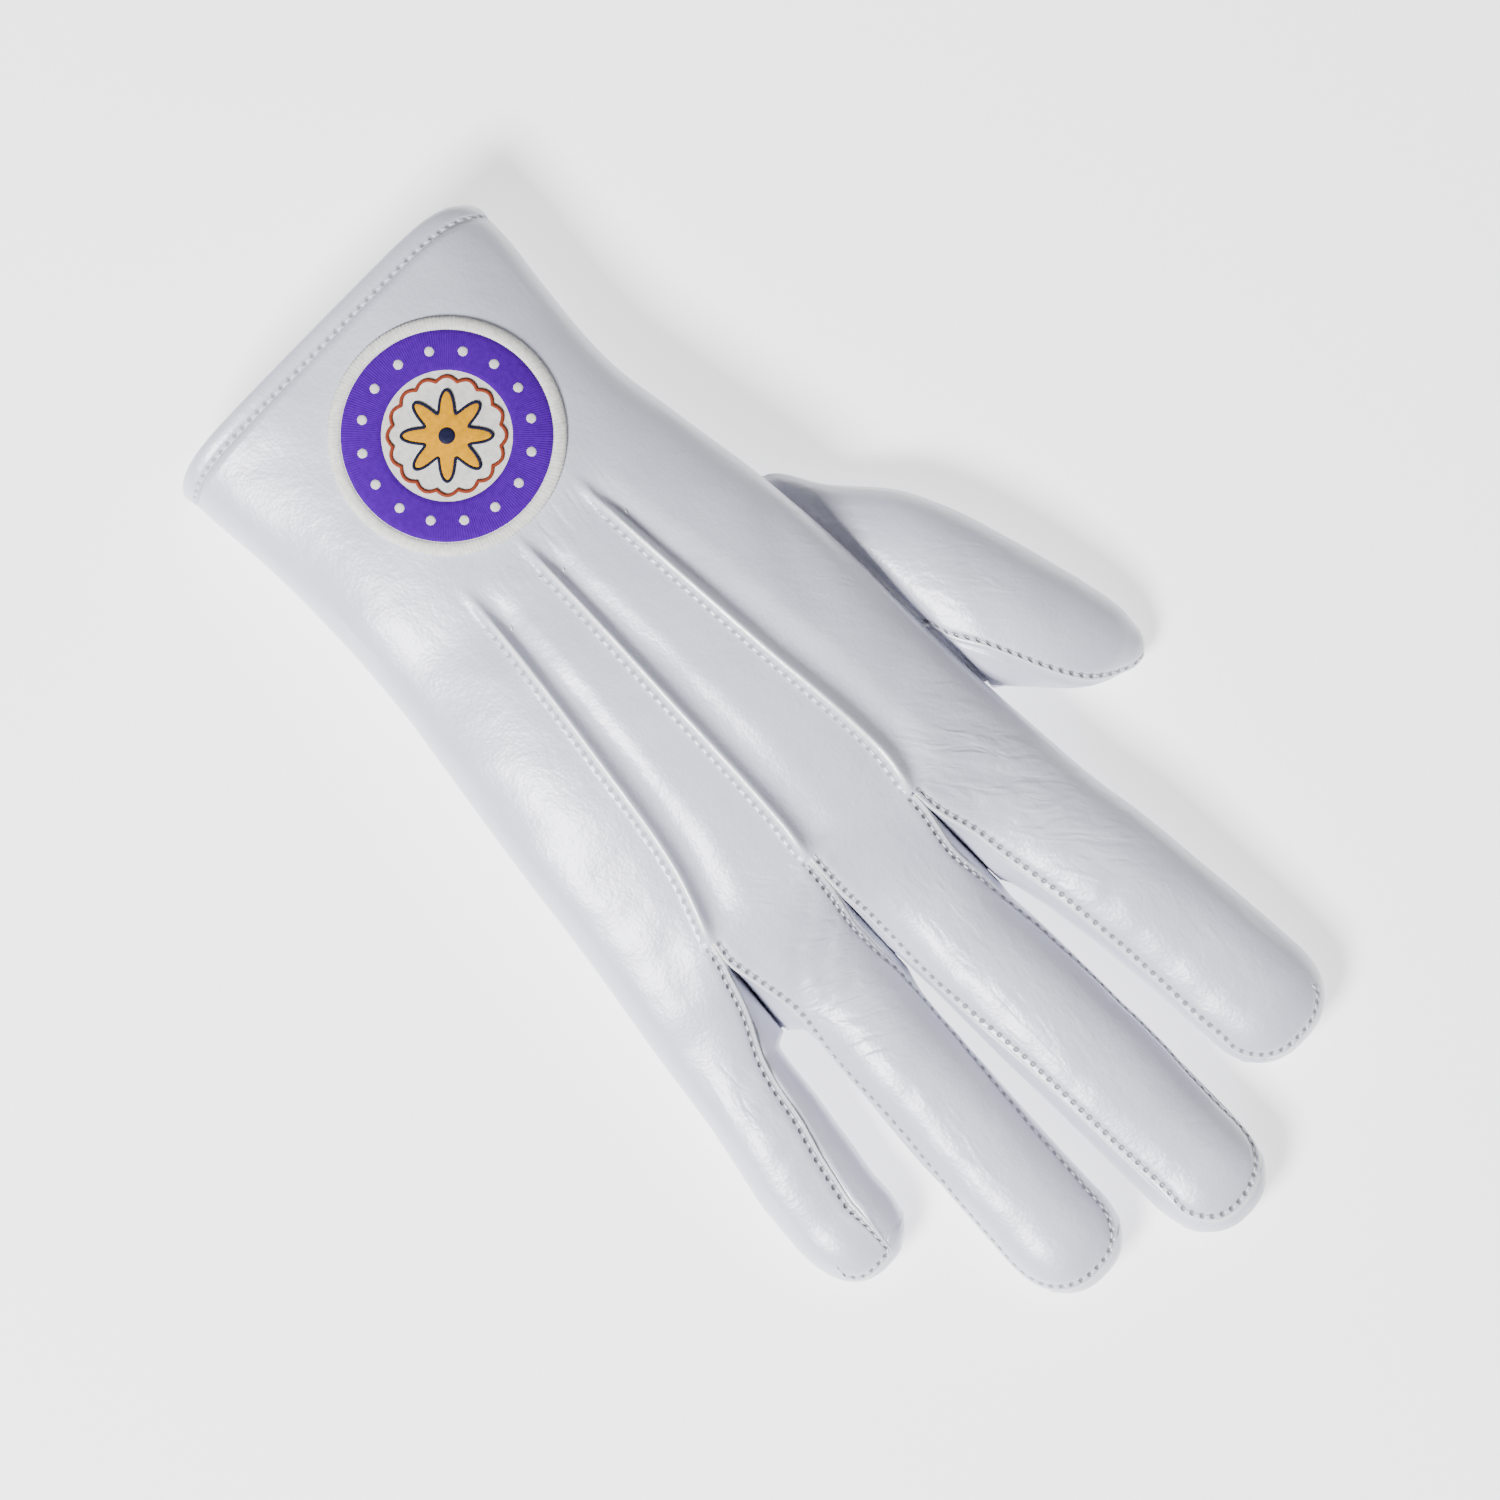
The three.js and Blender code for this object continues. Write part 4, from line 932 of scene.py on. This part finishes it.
def leather_material(name, tint):
    """Finished white kid leather: satin gloss, fine pores, wrinkles, a dent with painted shade at the end of
    each stitch and a painted highlight along the crests and seam edges, both placed by the seam's UV map."""
    m = Shader(name)
    place = m.add("TexCoord", "Object")
    mottle = m.noise(place, 34, 5)
    colour = m.blend(mottle, [0.93 * c for c in tint], tint)
    # Pricks along the seams: dents in the bump, with painted shade darkening the leather in them
    seam = m.parts(m.add("UVMap", "UV", {"uv_map": "seam"}))
    strength = m.add("Attribute", "Fac", {"attribute_name": "seam_strength"})
    along = m.math("PINGPONG", seam["Y"], STITCH_PITCH / 2 * MM)
    off = m.math("SUBTRACT", seam["X"], STITCH_FROM_EDGE * MM)
    far = m.math("SQRT", m.math("ADD", m.math("MULTIPLY", along, along), m.math("MULTIPLY", off, off)))
    prick = m.math("SUBTRACT", 1, m.math("DIVIDE", far, PRICK_RADIUS * MM), clamp=True)
    prick = m.math("MULTIPLY", prick, strength)
    depth = m.math("SMOOTH_MIN", m.math("MULTIPLY", prick, 1.7), 1.0, 0.3)
    # Painted shade in the pricks: the leather's colour is darkened by each prick's depth
    colour = m.mix(m.math("MULTIPLY", depth, 0.9, clamp=True), colour, PRICK_SHADE_COLOUR)
    # The crests of the raised points and the edges of the seams get a painted highlight, a lighter colour,
    # and are made a little smoother.
    crest = m.math("SUBTRACT", CREST_HIGHLIGHT_WIDTH * MM, seam["X"])
    crest = m.math("DIVIDE", crest, CREST_HIGHLIGHT_FADE * MM, clamp=True)
    crest = m.math("MULTIPLY", crest, m.math("MULTIPLY", strength, 2, clamp=True))
    colour = m.mix(crest, colour, CREST_HIGHLIGHT_COLOUR)
    # Wrinkles, a field of stretched noise for each direction
    folds = m.parts(m.add("Attribute", "Vector", {"attribute_name": "folds"}))
    height = m.math("MULTIPLY", depth, -PRICK_DEPTH * MM)
    for turn, weight in zip(WRINKLE_TURNS, folds):
        grain = m.add("Mapping", "Vector", {"vector_type": "TEXTURE"}, Vector=place,
                      Rotation=(0, 0, math.radians(turn)), Scale=[size * MM for size in WRINKLE_SIZE])
        fold = m.math("MULTIPLY", m.noise(grain, 1.0, 1.0, 0.9), weight)
        height = m.math("ADD", height, m.math("MULTIPLY", fold, WRINKLE_HEIGHT * MM))
    # Pores, grain and the slow waves of a lined glove
    pores = m.math("MULTIPLY", m.add("TexVoronoi", "Distance", Vector=place, Scale=1300), PORE_HEIGHT * MM)
    grained = m.math("MULTIPLY", m.noise(place, 420, 3), GRAIN_HEIGHT * MM)
    waved = m.math("MULTIPLY", m.noise(place, 85, 2), WAVE_HEIGHT * MM)
    height = m.math("ADD", m.math("ADD", height, pores), m.math("ADD", grained, waved))
    normal = m.bump(height, 1.0)
    rough = m.math("ADD", m.math("MULTIPLY", mottle, 0.16), 0.34)
    rough = m.math("SUBTRACT", rough, m.math("MULTIPLY", crest, 0.16))
    m.set(Base_Color=colour, Roughness=rough, Normal=normal, Coat_Normal=normal,
          Coat_Weight=1, Coat_Roughness=0.32, Specular_IOR_Level=0.75)
    return m.material


leather = leather_material("white_leather", (0.65, 0.66, 0.78))


def add_piece(name, mesh, material, nodes, thickness=0.0):
    """Links a mesh as a piece that rides on the glove, thickened inwards where it is leather."""
    piece = bpy.data.objects.new(name, mesh)
    bpy.context.scene.collection.objects.link(piece)
    mesh.materials.append(material)
    if thickness:
        wall = piece.modifiers.new("wall", "SOLIDIFY")
        wall.thickness = thickness * MM
        wall.offset = -1
    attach(piece, "root")
    if nodes:
        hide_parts(*nodes)


add_piece("trank_leather", trank.mesh("trank_leather"), leather, ["trank"], LEATHER)
add_piece("thumb_leather", thumb.mesh("thumb_leather"), leather, ["thumb"], LEATHER)

# Stitching
# White thread runs along every seam of the fingers and thumb, along one foot of each raised point and round
# the hem. Each stitch is a short capsule that dips into its two pricks.
STITCH_LENGTH, THREAD_RADIUS = 1.45, 0.18
STITCH_HEIGHT, STITCH_DIP = 0.13, 0.26  # how high a stitch's middle lies, and how far its ends sink from it
STITCH_AIM = 0.8  # how far before and behind its middle a stitch's direction is taken
STITCH_FROM = 0.3  # strength of a seam from which it shows stitches
STITCH_SIDES = 8
STITCH_RINGS = np.array([-1, -0.9, -0.55, 0, 0.55, 0.9, 1])[:, None]


def stitch_mesh(name, lines):
    """Capsules along lines of points: each line has points, normals, distances along it and strengths. A
    capsule's ring at t from -1 to 1 has radius sqrt(1 - t^6) and sinks towards its ends as t^2."""
    t = STITCH_RINGS
    angle = np.linspace(0, 2 * np.pi, STITCH_SIDES + 1)[None, :-1]
    ring = np.sqrt(1 - np.abs(t) ** 6) * THREAD_RADIUS
    run = t * STITCH_LENGTH / 2 + 0 * angle
    side, rise = ring * np.cos(angle), ring * np.sin(angle) + STITCH_HEIGHT - STITCH_DIP * t**2
    verts, faces, count = [], [], 0
    corner = np.arange(run.size).reshape(run.shape)
    quad = np.stack([corner[:-1], np.roll(corner, -1, 1)[:-1], np.roll(corner, -1, 1)[1:], corner[1:]], -1)
    quad = quad.reshape(-1, 4)
    for p, normal, along, strength in lines:
        middles = (np.arange(math.floor(along[-1] / STITCH_PITCH)) + 0.5) * STITCH_PITCH
        middles = middles[(np.interp(middles, along, strength) > STITCH_FROM) & (middles > along[0])]
        at, ahead, behind, up = (
            np.stack([np.interp(middles + step, along, values[:, k]) for k in range(3)], 1)
            for step, values in ((0, p), (STITCH_AIM, p), (-STITCH_AIM, p), (0, normal))
        )
        forward = ahead - behind
        forward /= np.maximum(np.linalg.norm(forward, axis=1, keepdims=True), 1e-9)
        across = np.cross(up, forward)
        across /= np.maximum(np.linalg.norm(across, axis=1, keepdims=True), 1e-9)
        up = np.cross(forward, across)
        place = at[:, None, None] + run[None, ..., None] * forward[:, None, None]
        place = place + side[None, ..., None] * across[:, None, None]
        place = place + rise[None, ..., None] * up[:, None, None]
        verts.append(place.reshape(-1, 3))
        faces.append((quad[None] + (np.arange(len(at)) * run.size)[:, None, None]).reshape(-1, 4) + count)
        count += len(at) * run.size
    verts, faces = np.concatenate(verts), np.concatenate(faces)
    verts[:, 2] = np.maximum(verts[:, 2], TABLE_TOP)
    mesh = bpy.data.meshes.new(name)
    mesh.from_pydata(((verts - (0, ORIGIN_Y, 0)) * MM).tolist(), [], faces.tolist())
    mesh.polygons.foreach_set("use_smooth", [True] * len(mesh.polygons))
    mesh.update()
    return mesh


def on_sheet(sheet, line):
    """A line of a sheet's grid indices with its places and normals, ready for stitches."""
    index, along, strength = line
    return sheet.final[sheet.back[index]], sheet.normal[sheet.back[index]], along, strength


TIE_HALF = 1.2  # half the length of a tying stitch's line


def tied(x, y, turn):
    """One short stitch at the point of the back nearest x and y, its direction turned from across the hand
    by degrees."""
    on_palm_side = trank.final[:, 2] < PALM_HEIGHT / 3
    near = np.hypot(trank.final[:, 0] - x, trank.final[:, 1] - y) + PALM_WIDTH * on_palm_side
    at, normal = trank.final[np.argmin(near)], trank.normal[np.argmin(near)]
    way = np.array([math.cos(math.radians(turn)), math.sin(math.radians(turn)), 0])
    way = TIE_HALF * (way - normal * (way @ normal))
    ends = np.stack([at - way, at + way])
    return ends, np.stack([normal, normal]), np.array([0, 2 * TIE_HALF]), np.array([1, 1])


# Where a raised point starts its thread is tied off with small crossed stitches on both sides. Each is given
# by y, its distance from the crest and its turn.
TIES = ((67.5, 1.9, 35), (67.5, 1.9, 125), (70, -2.1, 60))
ties = []
for line in DIVIDERS:
    for y, off, turn in TIES:
        ties.append(tied(follow(line, "across", y / PALM_LENGTH) * PALM_WIDTH + off, y, turn))
thread_shader = Shader("white_thread")
thread_shader.set(Base_Color=(0.74, 0.745, 0.79, 1), Roughness=0.55)
thread = thread_shader.material
hand_stitches = stitch_mesh("hand_stitching", [on_sheet(trank, line) for line in stitch_lines] + ties)
add_piece("hand_stitching", hand_stitches, thread, [])
thumb_stitches = stitch_mesh("thumb_stitching", [on_sheet(thumb, thumb_line)])
add_piece("thumb_stitching", thumb_stitches, thread, [])

# Fourchettes
# Six narrow strips of the same leather make the sides of the fingers. They are sewn edge to edge to the
# trank with a narrow raised seam, and to each other at the bottom of each fork.
FOURCHETTE_GAP = 0.16  # left to the trank along both edges
FOURCHETTES = {
    "fourchette_index": (0, 1),
    "fourchette_middle_thumb_side": (1, 0),
    "fourchette_middle_little_side": (1, 1),
    "fourchette_ring_thumb_side": (2, 0),
    "fourchette_ring_little_side": (2, 1),
    "fourchette_little": (3, 0),
}
for node, (f, side) in FOURCHETTES.items():
    p = wall_grid(f, side, ROWS[ROWS >= PALM_ROWS], 17, FOURCHETTE_GAP)
    reach = lengths(p, 1)
    edge = np.minimum(reach, reach[:, -1:] - reach)
    along = lengths(p[:, 0])[:, None]
    strip = Sheet()
    lift = 0.18 * (1 - smooth(edge)) + 0.5 * softness(p, FOURCHETTE_SEED)
    strip.grid(p, lift, (edge, along + 0 * edge, 0 * edge), flip=side == 0)
    strip.weld()
    add_piece(node + "_leather", strip.mesh(node), leather, [node], LEATHER)

# Cuff hem
# The cuff edge is turned in once and sewn down, which leaves a slightly puffed band with a line of stitches
# along its inner edge.
HEM_THICKNESS = 2.4
HEM_STITCHES = 3.75  # millimetres from the cuff edge
HEM_PRICKS = 0.4  # strength of the pricks
# along is a share of HEM_WIDTH from the cuff edge, out a share of HEM_THICKNESS from the leather's surface.
# The rows run inside the cuff to its edge, and from HEM_OUTSIDE back along its outside. The cuff's girth is
# measured at HEM_MIDDLE.
HEM_OUTSIDE, HEM_MIDDLE = 6, 8.5
HEM_SECTION = table(
    "at along out",
    (0, 1.06, -0.1), (1, 1.04, -0.55), (2, 0.8, -0.72), (3, 0.4, -0.8), (4, 0.08, -0.66), (5, 0, -0.4),
    (6, 0.03, -0.12), (7, 0.2, 0.1), (8, 0.45, 0.17), (9, 0.7, 0.13), (10, 0.85, -0.01), (11, 0.905, -0.05),
    (12, 0.96, 0), (13, 1.06, -0.1),
)


def cuff_point(turn, y):
    """Point of the cuff: turn 0 to 1 over the back, 1 to 2 down the little finger side, 2 to 3 back under the
    hand and 3 to 4 up the thumb side."""
    s = palm_at(y)
    fold, rounding = 1 - SIDE_FOLD / s.half, 1 - PALM_ROUNDING / s.half
    w = turn % 1
    back, below = lerp(-fold, fold, w), lerp(rounding, -rounding, w)
    sides = [flank(s, 1, fold, rounding, y, w), flank(s, -1, fold, rounding, y, 1 - w)]
    top = points(s.centre + back * s.half, y, upper(s, back))
    bottom = points(s.centre + below * s.half, y, under(s, below))
    quarter = (turn // 1)[..., None]
    return np.select([quarter == 0, quarter == 1, quarter == 2], [top, sides[0], bottom], sides[1])


hem_turns = np.concatenate([np.linspace(0, 1, 97)[:-1], 1 + np.linspace(0, 1, 25)[:-1],
                            2 + np.linspace(0, 1, 73)[:-1], 3 + np.linspace(0, 1, 25)[:-1]])
hem_at = np.linspace(0, HEM_SECTION["at"][-1], 53)[:-1]
hem_y = follow(HEM_SECTION, "along", hem_at)[None, :] * HEM_WIDTH
hem_out = follow(HEM_SECTION, "out", hem_at)[None, :] * HEM_THICKNESS
ring = cuff_point(hem_turns[:, None], hem_y + 0 * hem_turns[:, None])
ahead, behind = np.roll(ring, -1, 0), np.roll(ring, 1, 0)
tangent = ahead - behind
tangent[..., 1] = 0
outward = np.stack([-tangent[..., 2], 0 * tangent[..., 1], tangent[..., 0]], -1)
outward /= np.linalg.norm(outward, axis=-1, keepdims=True)
hem_p = set_back(ring + outward * (hem_out + 0.6 * softness(ring, TRANK_SEED))[..., None])
closed = np.concatenate([hem_p, hem_p[:1]])
closed = np.concatenate([closed, closed[:, :1]], 1)
middle = closed[:, np.argmin(np.abs(hem_at - HEM_MIDDLE))]
girth = lengths(middle)[:, None]
hem = Sheet()
hem_seam = np.abs(np.append(hem_y[0], hem_y[0, 0])[None, :] - HEM_STITCHES) + STITCH_FROM_EDGE
outside = HEM_PRICKS * (np.append(hem_at, HEM_SECTION["at"][-1]) > HEM_OUTSIDE)[None, :] + 0 * girth
hem_seams = (hem_seam + 0 * girth, girth + 0 * hem_seam, outside)
index = hem.grid(closed, 0.0, hem_seams, flip=True)
hem.weld()
column = np.argmin(np.where(hem_at < HEM_OUTSIDE, HEM_WIDTH, np.abs(hem_y[0] - HEM_STITCHES)))
hem_line = (index[:, column], girth[:, 0], np.ones(len(closed)))
add_piece("hem_leather", hem.mesh("hem_leather"), leather, ["cuff_hem"])
add_piece("hem_stitching", stitch_mesh("hem_stitching", [on_sheet(hem, hem_line)]), thread, [])

# Patch ground
# A round embroidered patch is sewn down on the back of the cuff. Its ground is a disc of off-white twill that
# ends under the border.
PATCH_X, PATCH_Y, PATCH_RADIUS = -3, 34.3, 24
GROUND_HEIGHT, GROUND_MARGIN, GROUND_RINGS = 0.75, 2.2, 40


def patch_mesh(name, x, y, height, flip=False):
    """Grids of points at x and y from the patch's middle, their heights measured up from the leather. Arrays
    of three dimensions hold several grids."""
    x, y, height = np.broadcast_arrays(x, y, height)
    sheet = Sheet()
    for x, y, height in zip(*(a.reshape(-1, *a.shape[-2:]) for a in (PATCH_X + x, PATCH_Y + y, height))):
        s = palm_at(y)
        p = points(x, y, upper(s, (x - s.centre) / s.half))
        p[..., 2] += base_lift(p) + height
        sheet.grid(p, 0.0, (0 * x, 0 * x, 0 * x), flip=flip)
    sheet.weld()
    return sheet.mesh(name)


def full_turn(steps):
    """Angles of a full turn in equal steps, with both its ends."""
    return np.linspace(0, 2 * np.pi, steps + 1)


def turned(radius, angle):
    """x and y at a radius and an angle."""
    return radius * np.cos(angle), radius * np.sin(angle)


def thread_material(name, colour, roughness=0.5):
    """Embroidery thread of one colour, with slight unevenness from fibre to fibre."""
    m = Shader(name)
    fibre = m.noise(m.add("TexCoord", "Object"), 900)
    m.set(Base_Color=m.blend(fibre, [0.7 * c for c in colour], [min(1.25 * c, 1) for c in colour]),
          Roughness=roughness, Specular_IOR_Level=0.08, Normal=m.bump(fibre, 0.12 * MM))
    return m.material


ground_edge = PATCH_RADIUS - GROUND_MARGIN
ground_radius = np.append(np.linspace(0, ground_edge, GROUND_RINGS), ground_edge)[None, :]
ground_height = np.append(np.full(GROUND_RINGS, GROUND_HEIGHT), 0)[None, :]
ground = patch_mesh("patch_twill", *turned(ground_radius, full_turn(144)[:, None]), ground_height)
ground_twill = thread_material("patch_twill", (0.7, 0.69, 0.67), 0.8)
add_piece("patch_twill", ground, ground_twill, ["patch_ground"])

# Patch border
# The patch's edge is overlocked: off-white thread is wrapped round it in close loops, which makes a thick
# round rim.
BORDER_WIDTH, BORDER_HEIGHT, BORDER_MIDDLE = 2.7, 0.85, 0.35
LOOPS, LOOP_SWELL = 188, 0.05
border_angle = full_turn(LOOPS * 6)[:, None]
around = np.linspace(-0.3 * np.pi, 1.25 * np.pi, 19)[None, :]
wrap = 1 + LOOP_SWELL * np.abs(np.sin((border_angle * LOOPS + 1.1 * around) / 2))
border_radius = PATCH_RADIUS - BORDER_WIDTH / 2 + BORDER_WIDTH / 2 * np.cos(around) * wrap
border_height = BORDER_MIDDLE + BORDER_HEIGHT * np.maximum(np.sin(around), -0.35) * wrap
border = patch_mesh("patch_border_loops", *turned(border_radius, border_angle), border_height, True)
border_thread = thread_material("border_thread", (0.78, 0.77, 0.74), 0.6)
add_piece("patch_border_loops", border, border_thread, ["patch_border"])

# Patch band
# Purple satin stitches fill a broad ring on the ground. Each thread lies across the ring, slightly raised in
# its middle.
BAND_INNER, BAND_OUTER, BAND_SWELL = 13.2, 21.3, 0.32
BAND_THREADS, BAND_THREAD_HEIGHT = 252, 0.12


def thread_ridges(angle, count, height):
    """Heights of a count of threads round a full turn, each the size of half a sine wave."""
    return height * np.abs(np.sin(angle * count / 2))


band_angle = full_turn(BAND_THREADS * 5)[:, None]
band_share = np.linspace(0, 1, 17)[None, :]
band_height = GROUND_HEIGHT + BAND_SWELL * arch(2 * band_share - 1, 3)
band_height = band_height + thread_ridges(band_angle, BAND_THREADS, BAND_THREAD_HEIGHT)
band_radius = lerp(BAND_INNER, BAND_OUTER, band_share)
band = patch_mesh("patch_band_satin", *turned(band_radius, band_angle), band_height)
band_thread = thread_material("band_thread", (0.07, 0, 0.28), 0.8)
add_piece("patch_band_satin", band, band_thread, ["patch_band"])

# Band dots
# Small round dots of white satin stitches lie evenly spaced along the middle of the band and stand a little
# proud of it.
DOTS, DOT_RADIUS = 16, 1.05


def padded_dot(radius, steps, base, swell):
    """Round satin dot: x, y and height over the leather, on a base and swelling by a power 2.5 arch."""
    share = np.linspace(0, 1, 7)[None, :]
    x, y = turned(radius * share, full_turn(steps)[:, None])
    return x, y, GROUND_HEIGHT + base + swell * arch(share, 2.5)


dot_turn = (np.arange(DOTS) * 2 * np.pi / DOTS)[:, None, None]
dot_x, dot_y = turned(lerp(BAND_INNER, BAND_OUTER, 0.5), dot_turn + np.pi / DOTS)
out_x, out_y, dot_height = padded_dot(DOT_RADIUS, 24, 0.3, 0.35)
dots = patch_mesh("patch_band_dots", dot_x + out_x, dot_y + out_y, dot_height)
add_piece("patch_band_dots", dots, thread_material("dot_thread", (0.7, 0.7, 0.68), 0.6), [])

# Rosette
# Eight round petals in gold satin stitches fill the patch's middle. A navy thread is laid round their
# outline, and a small navy dot is their middle.
ROSETTE_RADIUS, PETALS, ROSETTE_SWELL = 9.2, 8, 0.4
ROSETTE_THREADS, ROSETTE_THREAD_HEIGHT = 128, 0.06
OUTLINE_THICKNESS, MIDDLE_RADIUS = 0.3, 1.7


def laid_thread(radius, angle, thickness, base):
    """Round thread along a closed curve given by radii and angles: x, y and height over the leather. At each
    point a ring of eight sides stands square to the line between its neighbours."""
    x, y = turned(radius, angle)
    dx, dy = (np.roll(c[:-1], -1) - np.roll(c[:-1], 1) for c in (x, y))
    dx, dy = np.append(dx, dx[0]), np.append(dy, dy[0])
    size = np.hypot(dx, dy) / thickness
    around = full_turn(8)[None, :]
    out = np.cos(around)
    height = thickness * np.sin(around) + GROUND_HEIGHT + base
    return x[:, None] + out * (dy / size)[:, None], y[:, None] - out * (dx / size)[:, None], height


rosette_angle = full_turn(768)
petal = ROSETTE_RADIUS * (0.76 + 0.24 * np.cos(PETALS * rosette_angle))
rosette_share = np.linspace(0, 1, 17)[None, :]
ridges = thread_ridges(rosette_angle[:, None], ROSETTE_THREADS, ROSETTE_THREAD_HEIGHT) * rosette_share
rosette_height = GROUND_HEIGHT + ROSETTE_SWELL * arch(rosette_share, 3) + ridges
rosette_x, rosette_y = turned(petal[:, None] * rosette_share, rosette_angle[:, None])
rosette = patch_mesh("patch_rosette_satin", rosette_x, rosette_y, rosette_height)
rosette_thread = thread_material("rosette_thread", (0.7, 0.32, 0), 0.8)
add_piece("patch_rosette_satin", rosette, rosette_thread, ["patch_rosette"])
outline_curve = laid_thread(petal, rosette_angle, OUTLINE_THICKNESS, 0.25)
outline = patch_mesh("patch_rosette_outline", *outline_curve, True)
navy_thread = thread_material("navy_thread", (0.012, 0.013, 0.04))
add_piece("patch_rosette_outline", outline, navy_thread, [])
middle = patch_mesh("patch_rosette_middle", *padded_dot(MIDDLE_RADIUS, 32, 0.45, 0.35))
add_piece("patch_rosette_middle", middle, navy_thread, [])

# Scalloped ring
# A rust-red thread is laid on the twill round the rosette, in sixteen shallow scallops, and couched down with
# stitches too fine to see.
SCALLOP_RADIUS, SCALLOP_SWELL, SCALLOP_THICKNESS = 11, 0.95, 0.38
scallop = SCALLOP_RADIUS + SCALLOP_SWELL * np.abs(np.cos(PETALS * rosette_angle))
scallop_curve = laid_thread(scallop, rosette_angle, SCALLOP_THICKNESS, 0.15)
scallops = patch_mesh("patch_scallops", *scallop_curve, True)
rust_thread = thread_material("rust_thread", (0.25, 0.045, 0.02))
add_piece("patch_scallops", scallops, rust_thread, [])

# Table and light
# A plain pale table stands under soft studio light from the little finger's side. It is there for the
# picture only.
FLOOR_HALF = 3  # metres from the glove to the table's ends
GLOVE_MIDDLE = (0, 0.04, 0)
floor_mesh = bpy.data.meshes.new("table")
floor_z = (TABLE_TOP - 0.05) * MM
floor_corners = [(x * FLOOR_HALF, y * FLOOR_HALF, floor_z) for x, y in ((-1, -1), (1, -1), (1, 1), (-1, 1))]
floor_mesh.from_pydata(floor_corners, [], [(0, 1, 2, 3)])
floor = bpy.data.objects.new("table", floor_mesh)
bpy.context.scene.collection.objects.link(floor)
floor_shader = Shader("pale_table")
floor_shader.set(Base_Color=(0.93, 0.93, 0.93, 1), Roughness=0.9,
                 Emission_Color=(1, 1, 1, 1), Emission_Strength=1.5)
floor_mesh.materials.append(floor_shader.material)

world = bpy.data.worlds.new("studio")
bpy.context.scene.world = world
world.use_nodes = True
world.node_tree.nodes["Background"].inputs["Color"].default_value = (1, 1, 1, 1)
world.node_tree.nodes["Background"].inputs["Strength"].default_value = 0.07


def add_light(name, place, size, power):
    """Square soft box at a place in metres, turned towards the middle of the glove."""
    data = bpy.data.lights.new(name, "AREA")
    data.size = size
    data.energy = power
    light = bpy.data.objects.new(name, data)
    bpy.context.scene.collection.objects.link(light)
    back = np.subtract(place, GLOVE_MIDDLE)
    back /= np.linalg.norm(back)
    side = np.cross((0, 1, 0), back)
    side /= np.linalg.norm(side)
    other = np.cross(back, side)
    rows = [[side[i], other[i], back[i], place[i]] for i in range(3)]
    light.matrix_world = Matrix(rows + [[0, 0, 0, 1]])


add_light("key", (0.84, 0.12, 1.1), 0.42, 48)
add_light("top", (-0.2, 0.3, 1.5), 0.5, 3)
